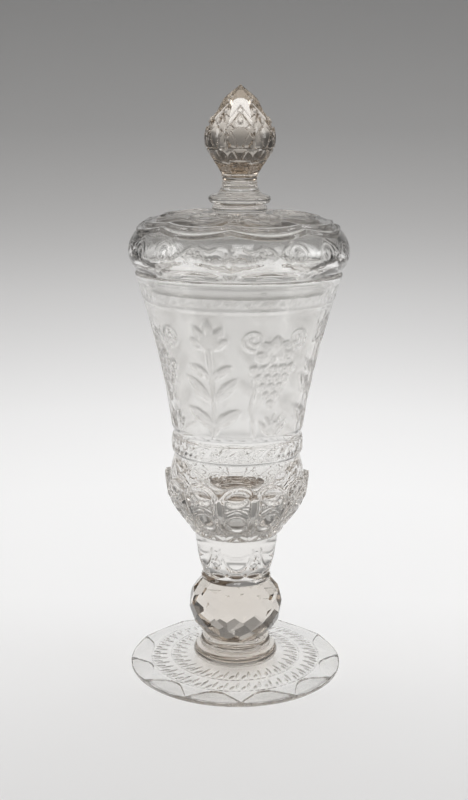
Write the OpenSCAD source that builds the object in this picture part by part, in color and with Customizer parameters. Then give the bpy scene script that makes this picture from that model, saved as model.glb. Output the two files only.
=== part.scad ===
// Covered goblet of cut and engraved glass, with a loose domed lid and a bud finial.
// Millimetres, +Z up, origin in the middle of the ground ring that the foot stands on.
// The pieces are gathers of glass that are stuck to each other on flat round joints.

/* [Foot] */
// Diameter of the foot plate
foot_d = 100; // [86:1:120]
// Thickness of the plate at its edge
foot_edge_h = 2.2; // [1.8:0.1:4]
// Rise of the plate from its edge to the foot ring
foot_rise = 2.4; // [1:0.1:6]
// Rounding of the plate's edge
foot_round = 0.5; // [0.3:0.1:0.9]
// Width of the ground ring that the foot stands on
foot_rest_w = 9; // [4:0.5:14]
// Depth of the hollow under the foot
foot_hollow = 1.1; // [0.4:0.1:1.6]
// Number of bow-shaped panels round the edge
foot_panels = 12; // [8:1:18]
// Length of a panel from the edge inwards
panel_len = 9.5; // [5:0.5:14]
// Depth of a panel at the edge
panel_depth = 0.9; // [0.4:0.1:1.1]
// Turn of the panels from the front, in degrees
panel_turn = 3; // [0:1:30]

/* [Stem] */
// Diameter of the wide ring on the foot
foot_ring_d = 39.8; // [36:0.2:46]
// Height of the wide ring
foot_ring_h = 4.8; // [3:0.2:8]
// Diameter of the narrower ring above it
stem_ring_d = 33.8; // [32:0.2:36]
// Height of the narrower ring
stem_ring_h = 5.8; // [4:0.2:9]
// Height of the plain lip on top of the narrower ring
stem_lip_h = 1.6; // [0.6:0.1:2.4]
// Diameter of the joint between the narrower ring and the knop
knop_joint_d = 30; // [26:0.2:31]
// Diameter of the knop across its corners
knop_d = 44.4; // [40:0.2:54]
// Height of the knop between its joints
knop_h = 28.4; // [24:0.2:34]
// Facets in each row round the knop
knop_facets = 12; // [8:1:16]
// Rise of the facets in the knop's second rows, in degrees
knop_rise = 27; // [22:1:32]
// Rise of the facets in the knop's outer rows, in degrees
knop_end_rise = 50; // [44:1:56]
// How much deeper the second rows are ground than the middle row
knop_grind = 0.5; // [0.2:0.05:0.8]
// How much deeper the outer rows are ground than the middle row
knop_end_grind = 1.25; // [0.8:0.05:1.8]
// Diameter of the collar under the bowl
collar_d = 33; // [32.4:0.2:38]
// Height of the collar
collar_h = 2.4; // [1.6:0.1:5]
// Rounding of the collar's lower half
collar_round = 0.3; // [0.1:0.1:0.5]
// Diameter of the joint between the collar and the bowl
bowl_joint_d = 30.8; // [26:0.2:31.6]

/* [Bowl] */
// Height of the bowl's solid base up to the bulb
base_h = 19.5; // [14:0.5:26]
// Diameter of the base where the bulb starts
base_d = 39; // [34:0.2:44]
// Height of the bulb up to the waist
bulb_h = 39.7; // [34:0.1:46]
// Largest diameter of the bulb
bulb_d = 62.4; // [60.4:0.2:70]
// Height of the bulb's widest place above the bulb's start
bulb_mid = 27.5; // [24:0.5:31]
// Diameter of the waist between the bulb and the carved band
waist_d = 58.2; // [55:0.2:60]
// Height of the carved band
band_h = 8.8; // [6:0.2:12]
// Diameter of the carved band
band_d = 60.8; // [60.2:0.2:66]
// Height of the plain neck between the band and the cup
neck_h = 3.4; // [2:0.2:6]
// Diameter of the plain neck
neck_d = 58.8; // [57:0.2:59.8]
// Height of the slope from the plain neck out to the cup
neck_slope_h = 1.4; // [0.6:0.1:1.8]
// Diameter of the cup at its lower end
cup_d = 60.4; // [59:0.2:64]
// Height of the cup
cup_h = 71.1; // [56:0.1:86]
// Diameter of the cup's rim
rim_d = 93.4; // [88:0.2:100]
// Thickness of the wall at the rim
rim_wall = 2.6; // [2.4:0.1:3.4]
// Thickness of the wall at the lower end of the cup
cup_wall = 3.7; // [3:0.1:5]
// Thickness of the wall at the waist
waist_wall = 4.1; // [3:0.1:6]
// Height of the solid glass under the bowl's floor
floor_h = 39; // [30:0.5:44]
// Rounding of the rim's outer edge
rim_round = 0.8; // [0.4:0.1:1]

/* [Calyx] */
// Number of leaf tongues round the bulb
leaf_count = 12; // [8:1:14]
// Width of a leaf tongue
leaf_w = 15; // [11:0.2:16]
// Height of a tongue's root above the bulb's start
leaf_root = 2; // [1:0.5:5]
// Height of a tongue's tip above the bulb's start
leaf_top = 31; // [26:0.5:33]
// How far a tongue's tip stands out from the bulb
leaf_relief = 2.6; // [1:0.1:4]
// Width of the round hollow cut in a tongue
eye_w = 8; // [4:0.2:9]
// Depth of that hollow
eye_depth = 0.9; // [0.3:0.1:1.5]

/* [Lid] */
// Diameter of the lid
lid_d = 99.2; // [98:0.2:108]
// Height of the lid from its seat to the finial
lid_h = 25.9; // [22:0.1:34]
// Diameter of the nearly flat crown of the lid
crown_d = 51.8; // [44:0.2:56]
// Fall of the crown from the finial to its edge
crown_fall = 0.5; // [0.2:0.1:2]
// Height of the lid's widest place above its seat
lid_edge_h = 8.9; // [6:0.1:12]
// Thickness of the lid's wall
lid_wall = 3.5; // [2.5:0.1:5]
// How far the lid's seat stops short of the rim's outer edge
seat_inset = 1.2; // [0.8:0.1:1.3]
// Gap between the lid's seat and the rim
seat_gap = 0.1; // [0.05:0.05:0.3]
// Depth of the flange inside the bowl
flange_h = 7.2; // [4:0.2:10]
// Thickness of the flange
flange_wall = 2.6; // [2:0.1:4]
// Gap between the flange and the bowl at the flange's lower edge
flange_gap = 0.6; // [0.4:0.1:1.5]
// Number of lobes in the raised rosette
rosette_lobes = 8; // [6:1:12]
// Diameter of the rosette across its lobes
rosette_d = 92.4; // [84:0.4:95]
// Diameter of one lobe
lobe_d = 52.4; // [46:0.4:56]
// Height of the rosette above the lid
rosette_h = 0.9; // [0.4:0.1:1.6]
// Turn of the rosette from the front
rosette_turn = -5; // [-15:1:15]

/* [Finial] */
// Diameter of the joint between the lid and the disc
disc_joint_d = 20.8; // [16:0.2:23]
// Diameter of the disc
disc_d = 24.8; // [24:0.2:28]
// Height of the disc
disc_h = 3.9; // [2.5:0.1:6]
// Diameter of the joint between the disc and the finial's collar
disc_top_d = 21.2; // [18:0.2:23]
// Diameter of the finial's collar
finial_collar_d = 28; // [24:0.2:34]
// Height of the finial's collar
finial_collar_h = 6.1; // [4.5:0.1:9]
// Diameter of the joint between the collar and the neck
finial_joint_d = 17.6; // [16:0.2:19]
// Diameter of the neck
finial_neck_d = 15.5; // [12:0.1:17]
// Height of the neck
finial_neck_h = 6.5; // [4:0.1:10]
// Diameter of the bud
bud_d = 31.6; // [26:0.2:38]
// How far the bud steps out over the neck
bud_step = 0.9; // [0.3:0.1:1.5]
// Height of the bud above the neck
bud_h = 39; // [32:0.5:48]
// Height of the bud's widest place above the neck
bud_mid = 16; // [13:0.5:19]
// Facets in each row round the bud
bud_facets = 8; // [6:1:10]
// Depth that the bud's upper facets are ground below its round
bud_grind = 1.6; // [0.6:0.1:2]
// Depth that the bud's lower facets are ground below its round
bud_low_grind = 1; // [0.4:0.1:1.4]
// Depth that the bud's middle facets are ground below its round
bud_mid_grind = 0.7; // [0.3:0.1:1.1]
// Slope of the bud's lower facets, in degrees
bud_low_slope = 35; // [30:1:40]

/* [Hidden] */
$fn = 96;

// Points on each curve of an outline
steps = 7;
// Direction of the front, in degrees round the axis
front = -90;
// Colourless glass with a warm grey cast, and the greyer matt-cut bowl and lid
clear_glass = [0.87, 0.87, 0.84];
matt_glass = [0.8, 0.8, 0.78];

// Heights of the joints, each on top of the last
z_foot_ring = foot_edge_h + foot_rise;
z_stem_ring = z_foot_ring + foot_ring_h;
z_knop = z_stem_ring + stem_ring_h;
z_collar = z_knop + knop_h;
z_bowl = z_collar + collar_h;
z_bulb = z_bowl + base_h;
z_waist = z_bulb + bulb_h;
z_neck = z_waist + band_h;
z_cup = z_neck + neck_h;
z_rim = z_cup + cup_h;
z_lid = z_rim + seat_gap;
z_lid_top = z_lid + lid_h;
z_finial_collar = z_lid_top + disc_h;
z_neck_low = z_finial_collar + finial_collar_h;
z_bud = z_neck_low + finial_neck_h;

// Radii that more than one piece or outline uses
foot_r = foot_d / 2;
rim_r = rim_d / 2;
lid_r = lid_d / 2;
bulb_r = bulb_d / 2;
bud_r = bud_d / 2;
knop_r = knop_d / 2;
seat_r = rim_r - seat_inset;

// Shares of a ring's radius that its flat joints take
ring_joint = 0.94;
// Shape of the flaring cup, as shares of its span outwards and upwards
cup_bend = [0.18, 0.33, 0.53, 0.66];

// Point between a and b, at a share of the way outwards and a share of the way upwards
function between(a, b, out, up) = [a.x + out * (b.x - a.x), a.y + up * (b.y - a.y)];

// Smooth curve from a to b, bent towards two points between them
function curve(a, b, bend) =
    let (p = between(a, b, bend[0], bend[1]), q = between(a, b, bend[2], bend[3]))
    [for (i = [0 : steps]) let (t = i / steps, s = 1 - t)
        s * s * s * a + 3 * s * s * t * p + 3 * s * t * t * q + t * t * t * b];

// Arc of an outline round the point c
function arc(c, r, from, to) =
    [for (i = [0 : steps]) let (t = from + (to - from) * i / steps) c + r * [cos(t), sin(t)]];

// Swelling side of a ring from a up to b, with the radius r at its fullest
function swell(a, b, r) =
    let (reach = (r - (a.x + b.x) / 8) / 0.75)
    [for (i = [0 : steps]) let (t = i / steps, s = 1 - t)
        s * s * s * a + 3 * s * s * t * [reach, a.y] + 3 * s * t * t * [reach, b.y]
        + t * t * t * b];

// Solid turned from a half outline that closes on the axis
module turned(outline, bottom, top) {
    rotate_extrude()
        polygon(concat([[0, bottom]], outline, [[0, top]]));
}

// Copies of the children round the axis
module around(count, turn = 0) {
    for (i = [0 : count - 1])
        rotate([0, 0, turn + i * 360 / count])
            children();
}

// Blocks that grind one row of flat facets, each facing outwards at a rise in degrees and
// lying at a distance from the axis at the height z, from below to above its own middle
module facet_row(count, turn, z, rise, distance, wide, below, above) {
    around(count, turn)
        translate([0, 0, z])
            rotate([0, -rise, 0])
                translate([distance, -wide / 2, -below])
                    cube([wide / 2, wide, below + above]);
}

// The foot's upper surface, from its edge up to the wide ring
foot_top = curve([foot_r - foot_round, foot_edge_h], [foot_ring_d / 2, z_foot_ring],
                 [0.35, 0.25, 0.7, 0.7]);

// Cutter for one bow-shaped panel: a wide hollow that deepens towards the edge
module panel_cut() {
    half_w = foot_r * sin(180 / foot_panels);
    hollow_r = (half_w * half_w + panel_depth * panel_depth) / (2 * panel_depth);
    plate_rise = foot_rise / (foot_r - foot_ring_d / 2);
    slope = atan(panel_depth / panel_len + plate_rise * 0.7);
    translate([foot_r, 0, foot_edge_h - panel_depth])
        rotate([0, slope, 0])
            translate([-panel_len * 2, 0, hollow_r])
                rotate([0, 90, 0])
                    cylinder(r = hollow_r, h = panel_len * 3, $fn = 192);
}

module foot() {
    rest_r = foot_r - foot_round - foot_rest_w;
    color(clear_glass)
        difference() {
            turned(concat(
                curve([0, foot_hollow], [rest_r, 0], [0.5, 0, 0.8, 0.9]),
                arc([foot_r - foot_round, foot_round], foot_round, -90, 0),
                arc([foot_r - foot_round, foot_edge_h - foot_round], foot_round, 0, 90),
                foot_top), foot_hollow, z_foot_ring);
            around(foot_panels, front + 180 / foot_panels + panel_turn)
                panel_cut();
        }
}

module foot_ring() {
    r = foot_ring_d / 2;
    color(clear_glass)
        turned(swell([r * ring_joint, z_foot_ring], [r * 0.9, z_stem_ring], r),
               z_foot_ring, z_stem_ring);
}

module stem_ring() {
    r = stem_ring_d / 2;
    shoulder = [knop_joint_d / 2, z_knop - stem_lip_h];
    color(clear_glass)
        turned(concat(swell([r * ring_joint, z_stem_ring], shoulder, r),
                      [[knop_joint_d / 2, z_knop]]),
               z_stem_ring, z_knop);
}

// The knop is a ball that is cut off flat at both joints and ground all over in rows
module knop() {
    foot_end = -knop_h * 0.52;
    z_mid = z_knop - foot_end;
    // Half height that the whole ball would have, from the width of its lower joint
    cut = knop_joint_d / knop_d;
    ball_h = -foot_end / sqrt(1 - cut * cut);
    ball = [for (i = [0 : 2 * steps])
        let (z = foot_end + knop_h * i / (2 * steps))
        [knop_r * sqrt(1 - z * z / (ball_h * ball_h)), z_mid + z]];
    apothem = knop_r * cos(180 / knop_facets);
    half_turn = 180 / knop_facets;
    wide = 3 * knop_r * tan(half_turn);
    color(clear_glass)
        difference() {
            turned(ball, z_knop, z_collar);
            facet_row(knop_facets, half_turn, z_mid, 0, apothem, wide, wide / 2, wide / 2);
            for (side = [-1, 1]) {
                facet_row(knop_facets, 0, z_mid, side * knop_rise, apothem - knop_grind,
                          wide, wide / 2, wide / 2);
                facet_row(knop_facets, half_turn, z_mid, side * knop_end_rise,
                          apothem - knop_end_grind, wide, wide / 2, wide / 2);
            }
        }
}

module bowl_collar() {
    r = collar_d / 2;
    color(clear_glass)
        turned(concat(swell([r - collar_round, z_collar],
                            [r - collar_round, z_collar + collar_h / 2], r),
                      [[bowl_joint_d / 2, z_bowl]]),
               z_collar, z_bowl);
}

// Outer side of the bowl from its joint to the rim
bulb_bend = [0, 0.27, 1, 0.4];
bulb_start = [base_d / 2, z_bulb];
bulb_wide = [bulb_r, z_bulb + bulb_mid];
band_low = [waist_d / 2, z_waist];
band_high = [neck_d / 2, z_neck];
bowl_outside = concat(
    curve([bowl_joint_d / 2, z_bowl], bulb_start, [0.49, 0.23, 0.73, 0.56]),
    curve(bulb_start, bulb_wide, bulb_bend),
    curve(bulb_wide, band_low, [-0.08, 0.4, 0.9, 0.65]),
    swell(band_low, band_high, band_d / 2),
    [[neck_d / 2, z_cup - neck_slope_h]],
    curve([cup_d / 2, z_cup], [rim_r, z_rim - rim_round], cup_bend),
    arc([rim_r - rim_round, z_rim - rim_round], rim_round, 0, 90));

// Inner side of the bowl from the rim down to the middle of its floor
cup_inside_low = [cup_d / 2 - cup_wall, z_cup];
cup_inside_high = [rim_r - rim_wall, z_rim];
waist_inside = [waist_d / 2 - waist_wall, z_waist];
cup_inside = curve(cup_inside_low, cup_inside_high, cup_bend);
bowl_inside = concat(
    [for (i = [steps : -1 : 0]) cup_inside[i]],
    curve(waist_inside, [0, z_bowl + floor_h], [-0.04, 0.65, 0.1, 1]));

// One raised leaf tongue on the bulb, leaning outwards to its tip, with a round eye in it
module leaf() {
    root = bulb_start + [leaf_relief * 0.4, leaf_root];
    tip_z = z_bulb + leaf_top;
    round_z = tip_z - leaf_w / 2;
    proud = [bulb_r + leaf_relief, tip_z - leaf_w * 0.25];
    depth = waist_wall * 0.7;
    side = concat(curve(root, proud, bulb_bend),
                  [[bulb_r, tip_z + 1],
                   [bulb_r - depth, tip_z],
                   [bulb_r - depth, bulb_wide.y - bulb_mid * 0.3],
                   [root.x - depth, root.y]]);
    eye_r = (eye_w * eye_w / 4 + eye_depth * eye_depth) / (2 * eye_depth);
    difference() {
        intersection() {
            rotate([0, 0, -180 / leaf_count])
                rotate_extrude(angle = 360 / leaf_count)
                    polygon(side);
            rotate([90, 0, 90])
                linear_extrude(bulb_r + 2 * leaf_relief)
                    union() {
                        translate([0, round_z])
                            circle(d = leaf_w);
                        polygon([[-leaf_w / 2, round_z], [leaf_w / 2, round_z],
                                 [leaf_w * 0.25, z_bulb], [-leaf_w * 0.25, z_bulb]]);
                    }
        }
        translate([bulb_r + leaf_relief + eye_r - eye_depth, 0, round_z])
            sphere(r = eye_r);
    }
}

module bowl() {
    color(matt_glass)
        union() {
            rotate_extrude()
                polygon(concat([[0, z_bowl]], bowl_outside, bowl_inside));
            around(leaf_count, front)
                leaf();
        }
}

// Outer side of the lid from its seat up to the joint with the finial
lid_edge = [lid_r, z_lid + lid_edge_h];
lid_crown = [crown_d / 2, z_lid_top - crown_fall];
lid_top_bend = [0, 0.545, 0.32, 0.94];
lid_shoulder = curve(lid_edge, lid_crown, lid_top_bend);
lid_outside = concat(
    curve([seat_r, z_lid], lid_edge, [0.41, 0.27, 1, 0.5]),
    lid_shoulder,
    [[disc_joint_d / 2, z_lid_top]]);

// The flange stays clear of the bowl's inner side at its own lower edge
flange_share = flange_h / cup_h;
flange_slope = (cup_inside_high.x - cup_inside_low.x) * (1 - cup_bend[2]) / (1 - cup_bend[3]);
flange_r = cup_inside_high.x - flange_slope * flange_share - flange_gap;
flange_in_r = flange_r - flange_wall;
lid_inside_edge = [lid_r - lid_wall, lid_edge.y];
lid_inside = concat(
    [[flange_in_r, z_rim - flange_h]],
    curve([flange_in_r, z_lid], lid_inside_edge, [0.5, 0.1, 1, 0.5]),
    curve(lid_inside_edge, lid_crown - [0, lid_wall], lid_top_bend),
    [[0, z_lid_top - lid_wall]]);

// Raised rosette of round lobes on top of the lid
module rosette() {
    under = lid_wall * 0.4;
    lift = [0, rosette_h];
    sink = [0, -under];
    lobe_out = rosette_d / 2 - lobe_d / 2;
    intersection() {
        rotate_extrude()
            polygon(concat([for (p = lid_shoulder) p + lift],
                           [[disc_joint_d / 2 + 2, z_lid_top + rosette_h * 0.6]],
                           [[disc_joint_d / 2, z_lid_top]],
                           [[disc_joint_d / 2, z_lid_top] + sink],
                           [for (i = [steps : -1 : 0]) lid_shoulder[i] + sink]));
        translate([0, 0, z_lid])
            linear_extrude(lid_h + 2 * rosette_h)
                union() {
                    circle(r = lobe_out);
                    around(rosette_lobes, front + rosette_turn + 180 / rosette_lobes)
                        translate([lobe_out, 0])
                            circle(d = lobe_d);
                }
    }
}

module lid() {
    color(matt_glass)
        union() {
            rotate_extrude()
                polygon(concat([[flange_r, z_rim - flange_h], [flange_r, z_lid]],
                               lid_outside, [[0, z_lid_top]],
                               [for (i = [len(lid_inside) - 1 : -1 : 0]) lid_inside[i]]));
            rosette();
        }
}

module finial_disc() {
    color(clear_glass)
        turned(swell([disc_joint_d / 2, z_lid_top],
                     [disc_top_d / 2, z_finial_collar], disc_d / 2),
               z_lid_top, z_finial_collar);
}

module finial_collar() {
    r = finial_collar_d / 2;
    widest = [r, z_finial_collar + finial_collar_h * 0.38];
    color(clear_glass)
        turned(concat(
            curve([disc_top_d / 2, z_finial_collar], widest, [0.7, 0.1, 1, 0.5]),
            curve(widest, [finial_joint_d / 2, z_neck_low], [0, 0.65, 0.9, 0.5])),
            z_finial_collar, z_neck_low);
}

module finial_bud() {
    neck_r = finial_neck_d / 2;
    waist = [neck_r, z_neck_low + finial_neck_h * 0.6];
    start = [neck_r + bud_step, z_bud];
    widest = [bud_r, z_bud + bud_mid];
    tip = [0, z_bud + bud_h];
    lean = atan(bud_r * 0.74 / (bud_h - bud_mid));
    wide = 2.6 * bud_r * tan(180 / bud_facets);
    color(clear_glass)
        difference() {
            turned(concat(
                curve([finial_joint_d / 2, z_neck_low], waist, [0.8, 0.3, 1, 0.6]),
                [[neck_r, z_bud - bud_step]],
                curve(start, widest, [0.28, 0.37, 0.95, 0.43]),
                curve(widest, tip, [0, 0.28, 0.37, 0.74])), z_neck_low, tip.y);
            facet_row(bud_facets, front, widest.y, lean, bud_r - bud_grind, wide,
                      bud_r, bud_h);
            facet_row(bud_facets, front, widest.y, -bud_low_slope, bud_r - bud_low_grind,
                      wide, bud_mid / 4, bud_mid);
            facet_row(bud_facets, front + 180 / bud_facets, widest.y, 0,
                      bud_r - bud_mid_grind, wide, bud_r, bud_r);
        }
}

foot();
foot_ring();
stem_ring();
knop();
bowl_collar();
bowl();
lid();
finial_disc();
finial_collar();
finial_bud();
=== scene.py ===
"""Covered goblet of cut and engraved glass: the dressed pieces and the studio round them.

Each gather of glass is modelled as its own closed piece and stands for the solid of the
same name. Lengths in the code are millimetres; the meshes and the properties are metres.
"""

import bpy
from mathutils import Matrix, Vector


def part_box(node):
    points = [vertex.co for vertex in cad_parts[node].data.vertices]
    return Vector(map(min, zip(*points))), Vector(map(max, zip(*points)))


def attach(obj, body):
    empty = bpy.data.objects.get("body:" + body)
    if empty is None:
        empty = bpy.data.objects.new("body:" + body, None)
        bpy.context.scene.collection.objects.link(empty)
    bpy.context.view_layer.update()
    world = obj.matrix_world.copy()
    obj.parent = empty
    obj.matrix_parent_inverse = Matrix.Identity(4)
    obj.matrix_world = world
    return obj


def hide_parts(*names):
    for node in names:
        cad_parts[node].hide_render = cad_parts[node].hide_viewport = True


bl_info = {
    "name": "Covered goblet",
    "version": (1, 0, 0),
    "blender": (4, 5, 0),
    "location": "View3D > Sidebar > Goblet",
    "description": "Models a covered goblet of cut and engraved glass, with its studio",
    "category": "Add Mesh",
}

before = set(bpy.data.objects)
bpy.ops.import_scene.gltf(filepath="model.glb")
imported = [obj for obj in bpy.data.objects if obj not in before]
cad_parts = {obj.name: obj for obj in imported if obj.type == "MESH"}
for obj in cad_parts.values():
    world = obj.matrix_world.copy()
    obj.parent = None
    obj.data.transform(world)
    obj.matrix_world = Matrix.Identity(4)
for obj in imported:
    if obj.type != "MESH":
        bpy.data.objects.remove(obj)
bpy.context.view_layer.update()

import math
from types import SimpleNamespace

import bpy
import numpy as np

MM = 0.001
# Millimetres that count as nothing
TINY = 1e-4
# Fused pieces stay this many millimetres apart, so that no two faces lie in one plane
SEAM = 0.01


def solid(node):
    """A solid's lowest height, raised by the seam, its highest height and the radius that its
    box holds, in millimetres."""
    low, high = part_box(node)
    radius = min(high.x, high.y, -low.x, -low.y)
    return SimpleNamespace(low=low.z / MM + SEAM, high=high.z / MM, r=radius / MM)


FOOT = solid("foot")
FOOT_RING = solid("foot_ring")
STEM_RING = solid("stem_ring")
KNOP = solid("knop")
COLLAR = solid("bowl_collar")
BOWL = solid("bowl")
LID = solid("lid")
DISC = solid("finial_disc")
FINIAL_COLLAR = solid("finial_collar")
BUD = solid("finial_bud")


# Properties that a user would change

def length(name, millimetres, description):
    """A length property, written in millimetres and kept in metres."""
    return bpy.props.FloatProperty(
        name=name, description=description, default=millimetres * MM, min=0.0,
        precision=5, unit="LENGTH")


def count(name, number, description):
    """A property that counts repeated ornaments."""
    return bpy.props.IntProperty(name=name, description=description, default=number, min=3)


def turn(name, degrees, description):
    """An angle property, written in degrees."""
    return bpy.props.FloatProperty(
        name=name, description=description, default=math.radians(degrees), subtype="ANGLE")


def share(name, number, description):
    """A property that is a share from 0 to 1."""
    return bpy.props.FloatProperty(
        name=name, description=description, default=number, min=0.0, max=1.0,
        subtype="FACTOR")


def linear(hex_code):
    """Linear red, green and blue of an sRGB hex colour."""
    parts = [int(hex_code[i:i + 2], 16) / 255 for i in (1, 3, 5)]
    return [c / 12.92 if c <= 0.04045 else ((c + 0.055) / 1.055) ** 2.4 for c in parts]


def colour(name, hex_code, description):
    """A colour property, written as an sRGB hex value."""
    return bpy.props.FloatVectorProperty(
        name=name, description=description, default=linear(hex_code), size=3, min=0.0,
        max=1.0, subtype="COLOR")


class GobletFoot(bpy.types.PropertyGroup):
    """Sizes of the foot and its cut ornament"""
    edge_h: length("Edge height", 2.2, "Thickness of the plate at its edge")
    edge_round: length("Edge rounding", 0.5, "Rounding of the plate's edge")
    rest_w: length("Ground ring", 9.0, "Width of the ring that the foot stands on")
    hollow: length("Hollow", 1.1, "Depth of the hollow under the plate")
    panels: count("Panels", 12, "Bow-shaped panels round the edge")
    panel_len: length("Panel length", 9.3, "Length of a panel from the edge inwards")
    panel_depth: length("Panel depth", 0.8, "Depth of a panel at the edge")
    panel_step: length("Panel step", 0.45, "Height of the step along a panel's bow")
    panel_turn: turn("Panel turn", 3.0, "Turn of the panels from the front")
    leaf_depth: length("Leaf depth", 0.4, "Depth of the engraved leaf rows")


class GobletStem(bpy.types.PropertyGroup):
    """Sizes of the rings and the knop"""
    lip_h: length("Lip height", 1.6, "Plain lip on top of the narrow ring")
    knop_joint_d: length("Knop joint", 30.0, "Diameter of the joint under the knop")
    bowl_joint_d: length("Bowl joint", 30.8, "Diameter of the joint under the bowl")
    facets: count("Facets", 12, "Facets in each row round the knop")
    rise: turn("Upper row", 12.0, "Rise of the facets over the knop's middle")
    fall: turn("Lower row", 9.0, "Fall of the facets under the knop's middle")
    next_fall: turn("Next lower row", 22.0, "Fall of the facets in the row below those")
    end_rise: turn("Outer rows", 40.0, "Rise of the facets in the outer rows")
    grind: length("Grind", 0.1, "Extra depth of the rows at the middle")
    next_grind: length("Next grind", 0.5, "Extra depth of the next lower row")
    end_grind: length("End grind", 1.25, "Extra depth of the outer rows")
    facet_turn: turn("Facet turn", 6.0, "Turn of the knop's facets from the front")


class GobletBowl(bpy.types.PropertyGroup):
    """Sizes of the bowl and its carved ornament"""
    base_h: length("Base height", 19.5, "Height of the solid base up to the bulb")
    base_d: length("Base diameter", 39.0, "Diameter of the base where the bulb starts")
    bulb_h: length("Bulb height", 39.7, "Height of the bulb up to the waist")
    bulb_d: length("Bulb diameter", 62.4, "Largest diameter of the bulb")
    bulb_mid: length("Bulb middle", 27.5, "Height of the bulb's widest place over its start")
    waist_d: length("Waist diameter", 58.2, "Diameter of the waist under the carved band")
    band_h: length("Band height", 8.8, "Height of the carved band")
    band_d: length("Band diameter", 60.8, "Diameter of the carved band")
    neck_h: length("Neck height", 3.4, "Height of the plain neck over the band")
    neck_d: length("Neck diameter", 58.8, "Diameter of the plain neck")
    cup_d: length("Cup diameter", 60.4, "Diameter of the cup at its lower end")
    rim_d: length("Rim diameter", 93.4, "Diameter of the rim")
    rim_wall: length("Rim wall", 2.6, "Thickness of the wall at the rim")
    cup_wall: length("Cup wall", 3.7, "Thickness of the wall at the cup's lower end")
    waist_wall: length("Waist wall", 4.1, "Thickness of the wall at the waist")
    floor_h: length("Floor height", 39.0, "Height of the solid glass under the floor")
    rim_round: length("Rim rounding", 0.8, "Rounding of the rim's outer edge")
    leaves: count("Leaves", 12, "Leaf tongues round the bulb")
    leaf_w: length("Leaf width", 15.0, "Width of a leaf tongue")
    leaf_top: length("Leaf top", 31.0, "Height of a leaf's tip above the bulb's start")
    leaf_relief: length("Leaf relief", 2.5, "How far a leaf's tip stands out")
    leaf_hollow: length("Leaf hollow", 1.3, "Depth of the channel in a leaf")
    frieze_h: length("Frieze height", 58.6, "Height of the matt frieze on the cup")
    frieze_depth: length("Frieze depth", 1.1, "Depth of the cut plants in the frieze")
    plants: count("Plants", 4, "Repeats of the flower and the vine round the cup")


class GobletLid(bpy.types.PropertyGroup):
    """Sizes of the lid and its ornament"""
    crown_d: length("Crown diameter", 51.8, "Diameter of the nearly flat crown")
    crown_fall: length("Crown fall", 0.5, "Fall of the crown to its edge")
    edge_h: length("Edge height", 8.9, "Height of the widest place above the seat")
    wall: length("Wall", 3.5, "Thickness of the lid's wall")
    seat_inset: length("Seat inset", 1.2, "How far the seat stops short of the rim")
    flange_d: length("Flange diameter", 82.08, "Diameter of the flange inside the bowl")
    flange_wall: length("Flange wall", 2.6, "Thickness of the flange")
    lobes: count("Lobes", 8, "Lobes in the raised rosette")
    rosette_d: length("Rosette diameter", 92.4, "Diameter across the rosette's lobes")
    lobe_d: length("Lobe diameter", 52.4, "Diameter of one lobe")
    rosette_h: length("Rosette height", 0.9, "Height of the rosette above the lid")
    rosette_turn: turn("Rosette turn", -5.0, "Turn of the rosette from the front")


class GobletFinial(bpy.types.PropertyGroup):
    """Sizes of the finial"""
    disc_joint_d: length("Disc joint", 20.8, "Diameter of the joint between lid and disc")
    disc_top_d: length("Disc top", 21.2, "Diameter of the joint between disc and collar")
    neck_joint_d: length("Neck joint", 17.6, "Diameter of the joint under the neck")
    neck_d: length("Neck diameter", 15.5, "Diameter of the neck")
    neck_h: length("Neck height", 6.5, "Height of the neck")
    step: length("Step", 0.9, "How far the bud steps out over the neck")
    bud_mid: length("Bud middle", 16.0, "Height of the bud's widest place over the neck")
    facets: count("Facets", 8, "Leaves and facets in each row round the bud")
    grind: length("Upper grind", 1.6, "Depth of the upper facets below the round")
    low_grind: length("Lower grind", 0.8, "Depth of the lower facets below the round")
    low_slope: turn("Lower slope", 33.0, "Slope of the lower facets")
    cap_h: length("Cap height", 5.8, "Height of the facets that meet at the bud's tip")
    line_depth: length("Line depth", 0.5, "Depth of the lines round the bud's leaves")


class GobletGlass(bpy.types.PropertyGroup):
    """Looks of the glass"""
    clear: colour("Clear glass", "#fbfbfa", "Colour of the polished glass")
    matt: colour("Matt glass", "#fbfaf8", "Colour of the wheel-matted glass")
    depth_cast: colour("Depth cast", "#d3c4b0", "Warm grey that deep glass turns to")
    depth: bpy.props.FloatProperty(
        name="Depth", description="How soon the glass turns to that cast, per metre", default=4.5)
    ior: bpy.props.FloatProperty(
        name="IOR", description="Index of refraction of potash crystal glass", default=1.51)
    polish: share("Polish", 0.015, "Roughness of the polished glass")
    frost: share("Frost", 0.22, "Roughness of the wheel-matted glass")
    shade: colour("Shadow cast", "#ffffff", "Light that one wall lets through to the floor")


class GobletStage(bpy.types.PropertyGroup):
    """Place and lens of the studio's camera"""
    camera_away: length("Camera distance", 558.2, "Distance of the camera from the axis")
    camera_high: length("Camera height", 255.8, "Height of the camera over the floor")
    camera_left: length("Camera offset", 1.7, "How far the camera stands left of the axis")
    camera_down: turn("Camera pitch", 12.81, "How far the camera looks down")
    camera_roll: turn("Camera roll", 0.5, "Turn of the camera about its view")
    focal_px: bpy.props.FloatProperty(
        name="Focal length", description="Focal length in pixels of the picture",
        default=1241.8)


GROUPS = {
    "goblet_foot": GobletFoot, "goblet_stem": GobletStem, "goblet_bowl": GobletBowl,
    "goblet_lid": GobletLid, "goblet_finial": GobletFinial, "goblet_glass": GobletGlass,
    "goblet_stage": GobletStage,
}


def sizes(context, name):
    """A property group's values by name, with its lengths in millimetres."""
    group = getattr(context.scene, name)
    values = {}
    for key in group.__annotations__:
        value = getattr(group, key)
        kind = group.bl_rna.properties[key]
        values[key] = value / MM if kind.unit == "LENGTH" else value
    return SimpleNamespace(**values)


# Outlines, as lists of radius and height

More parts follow.
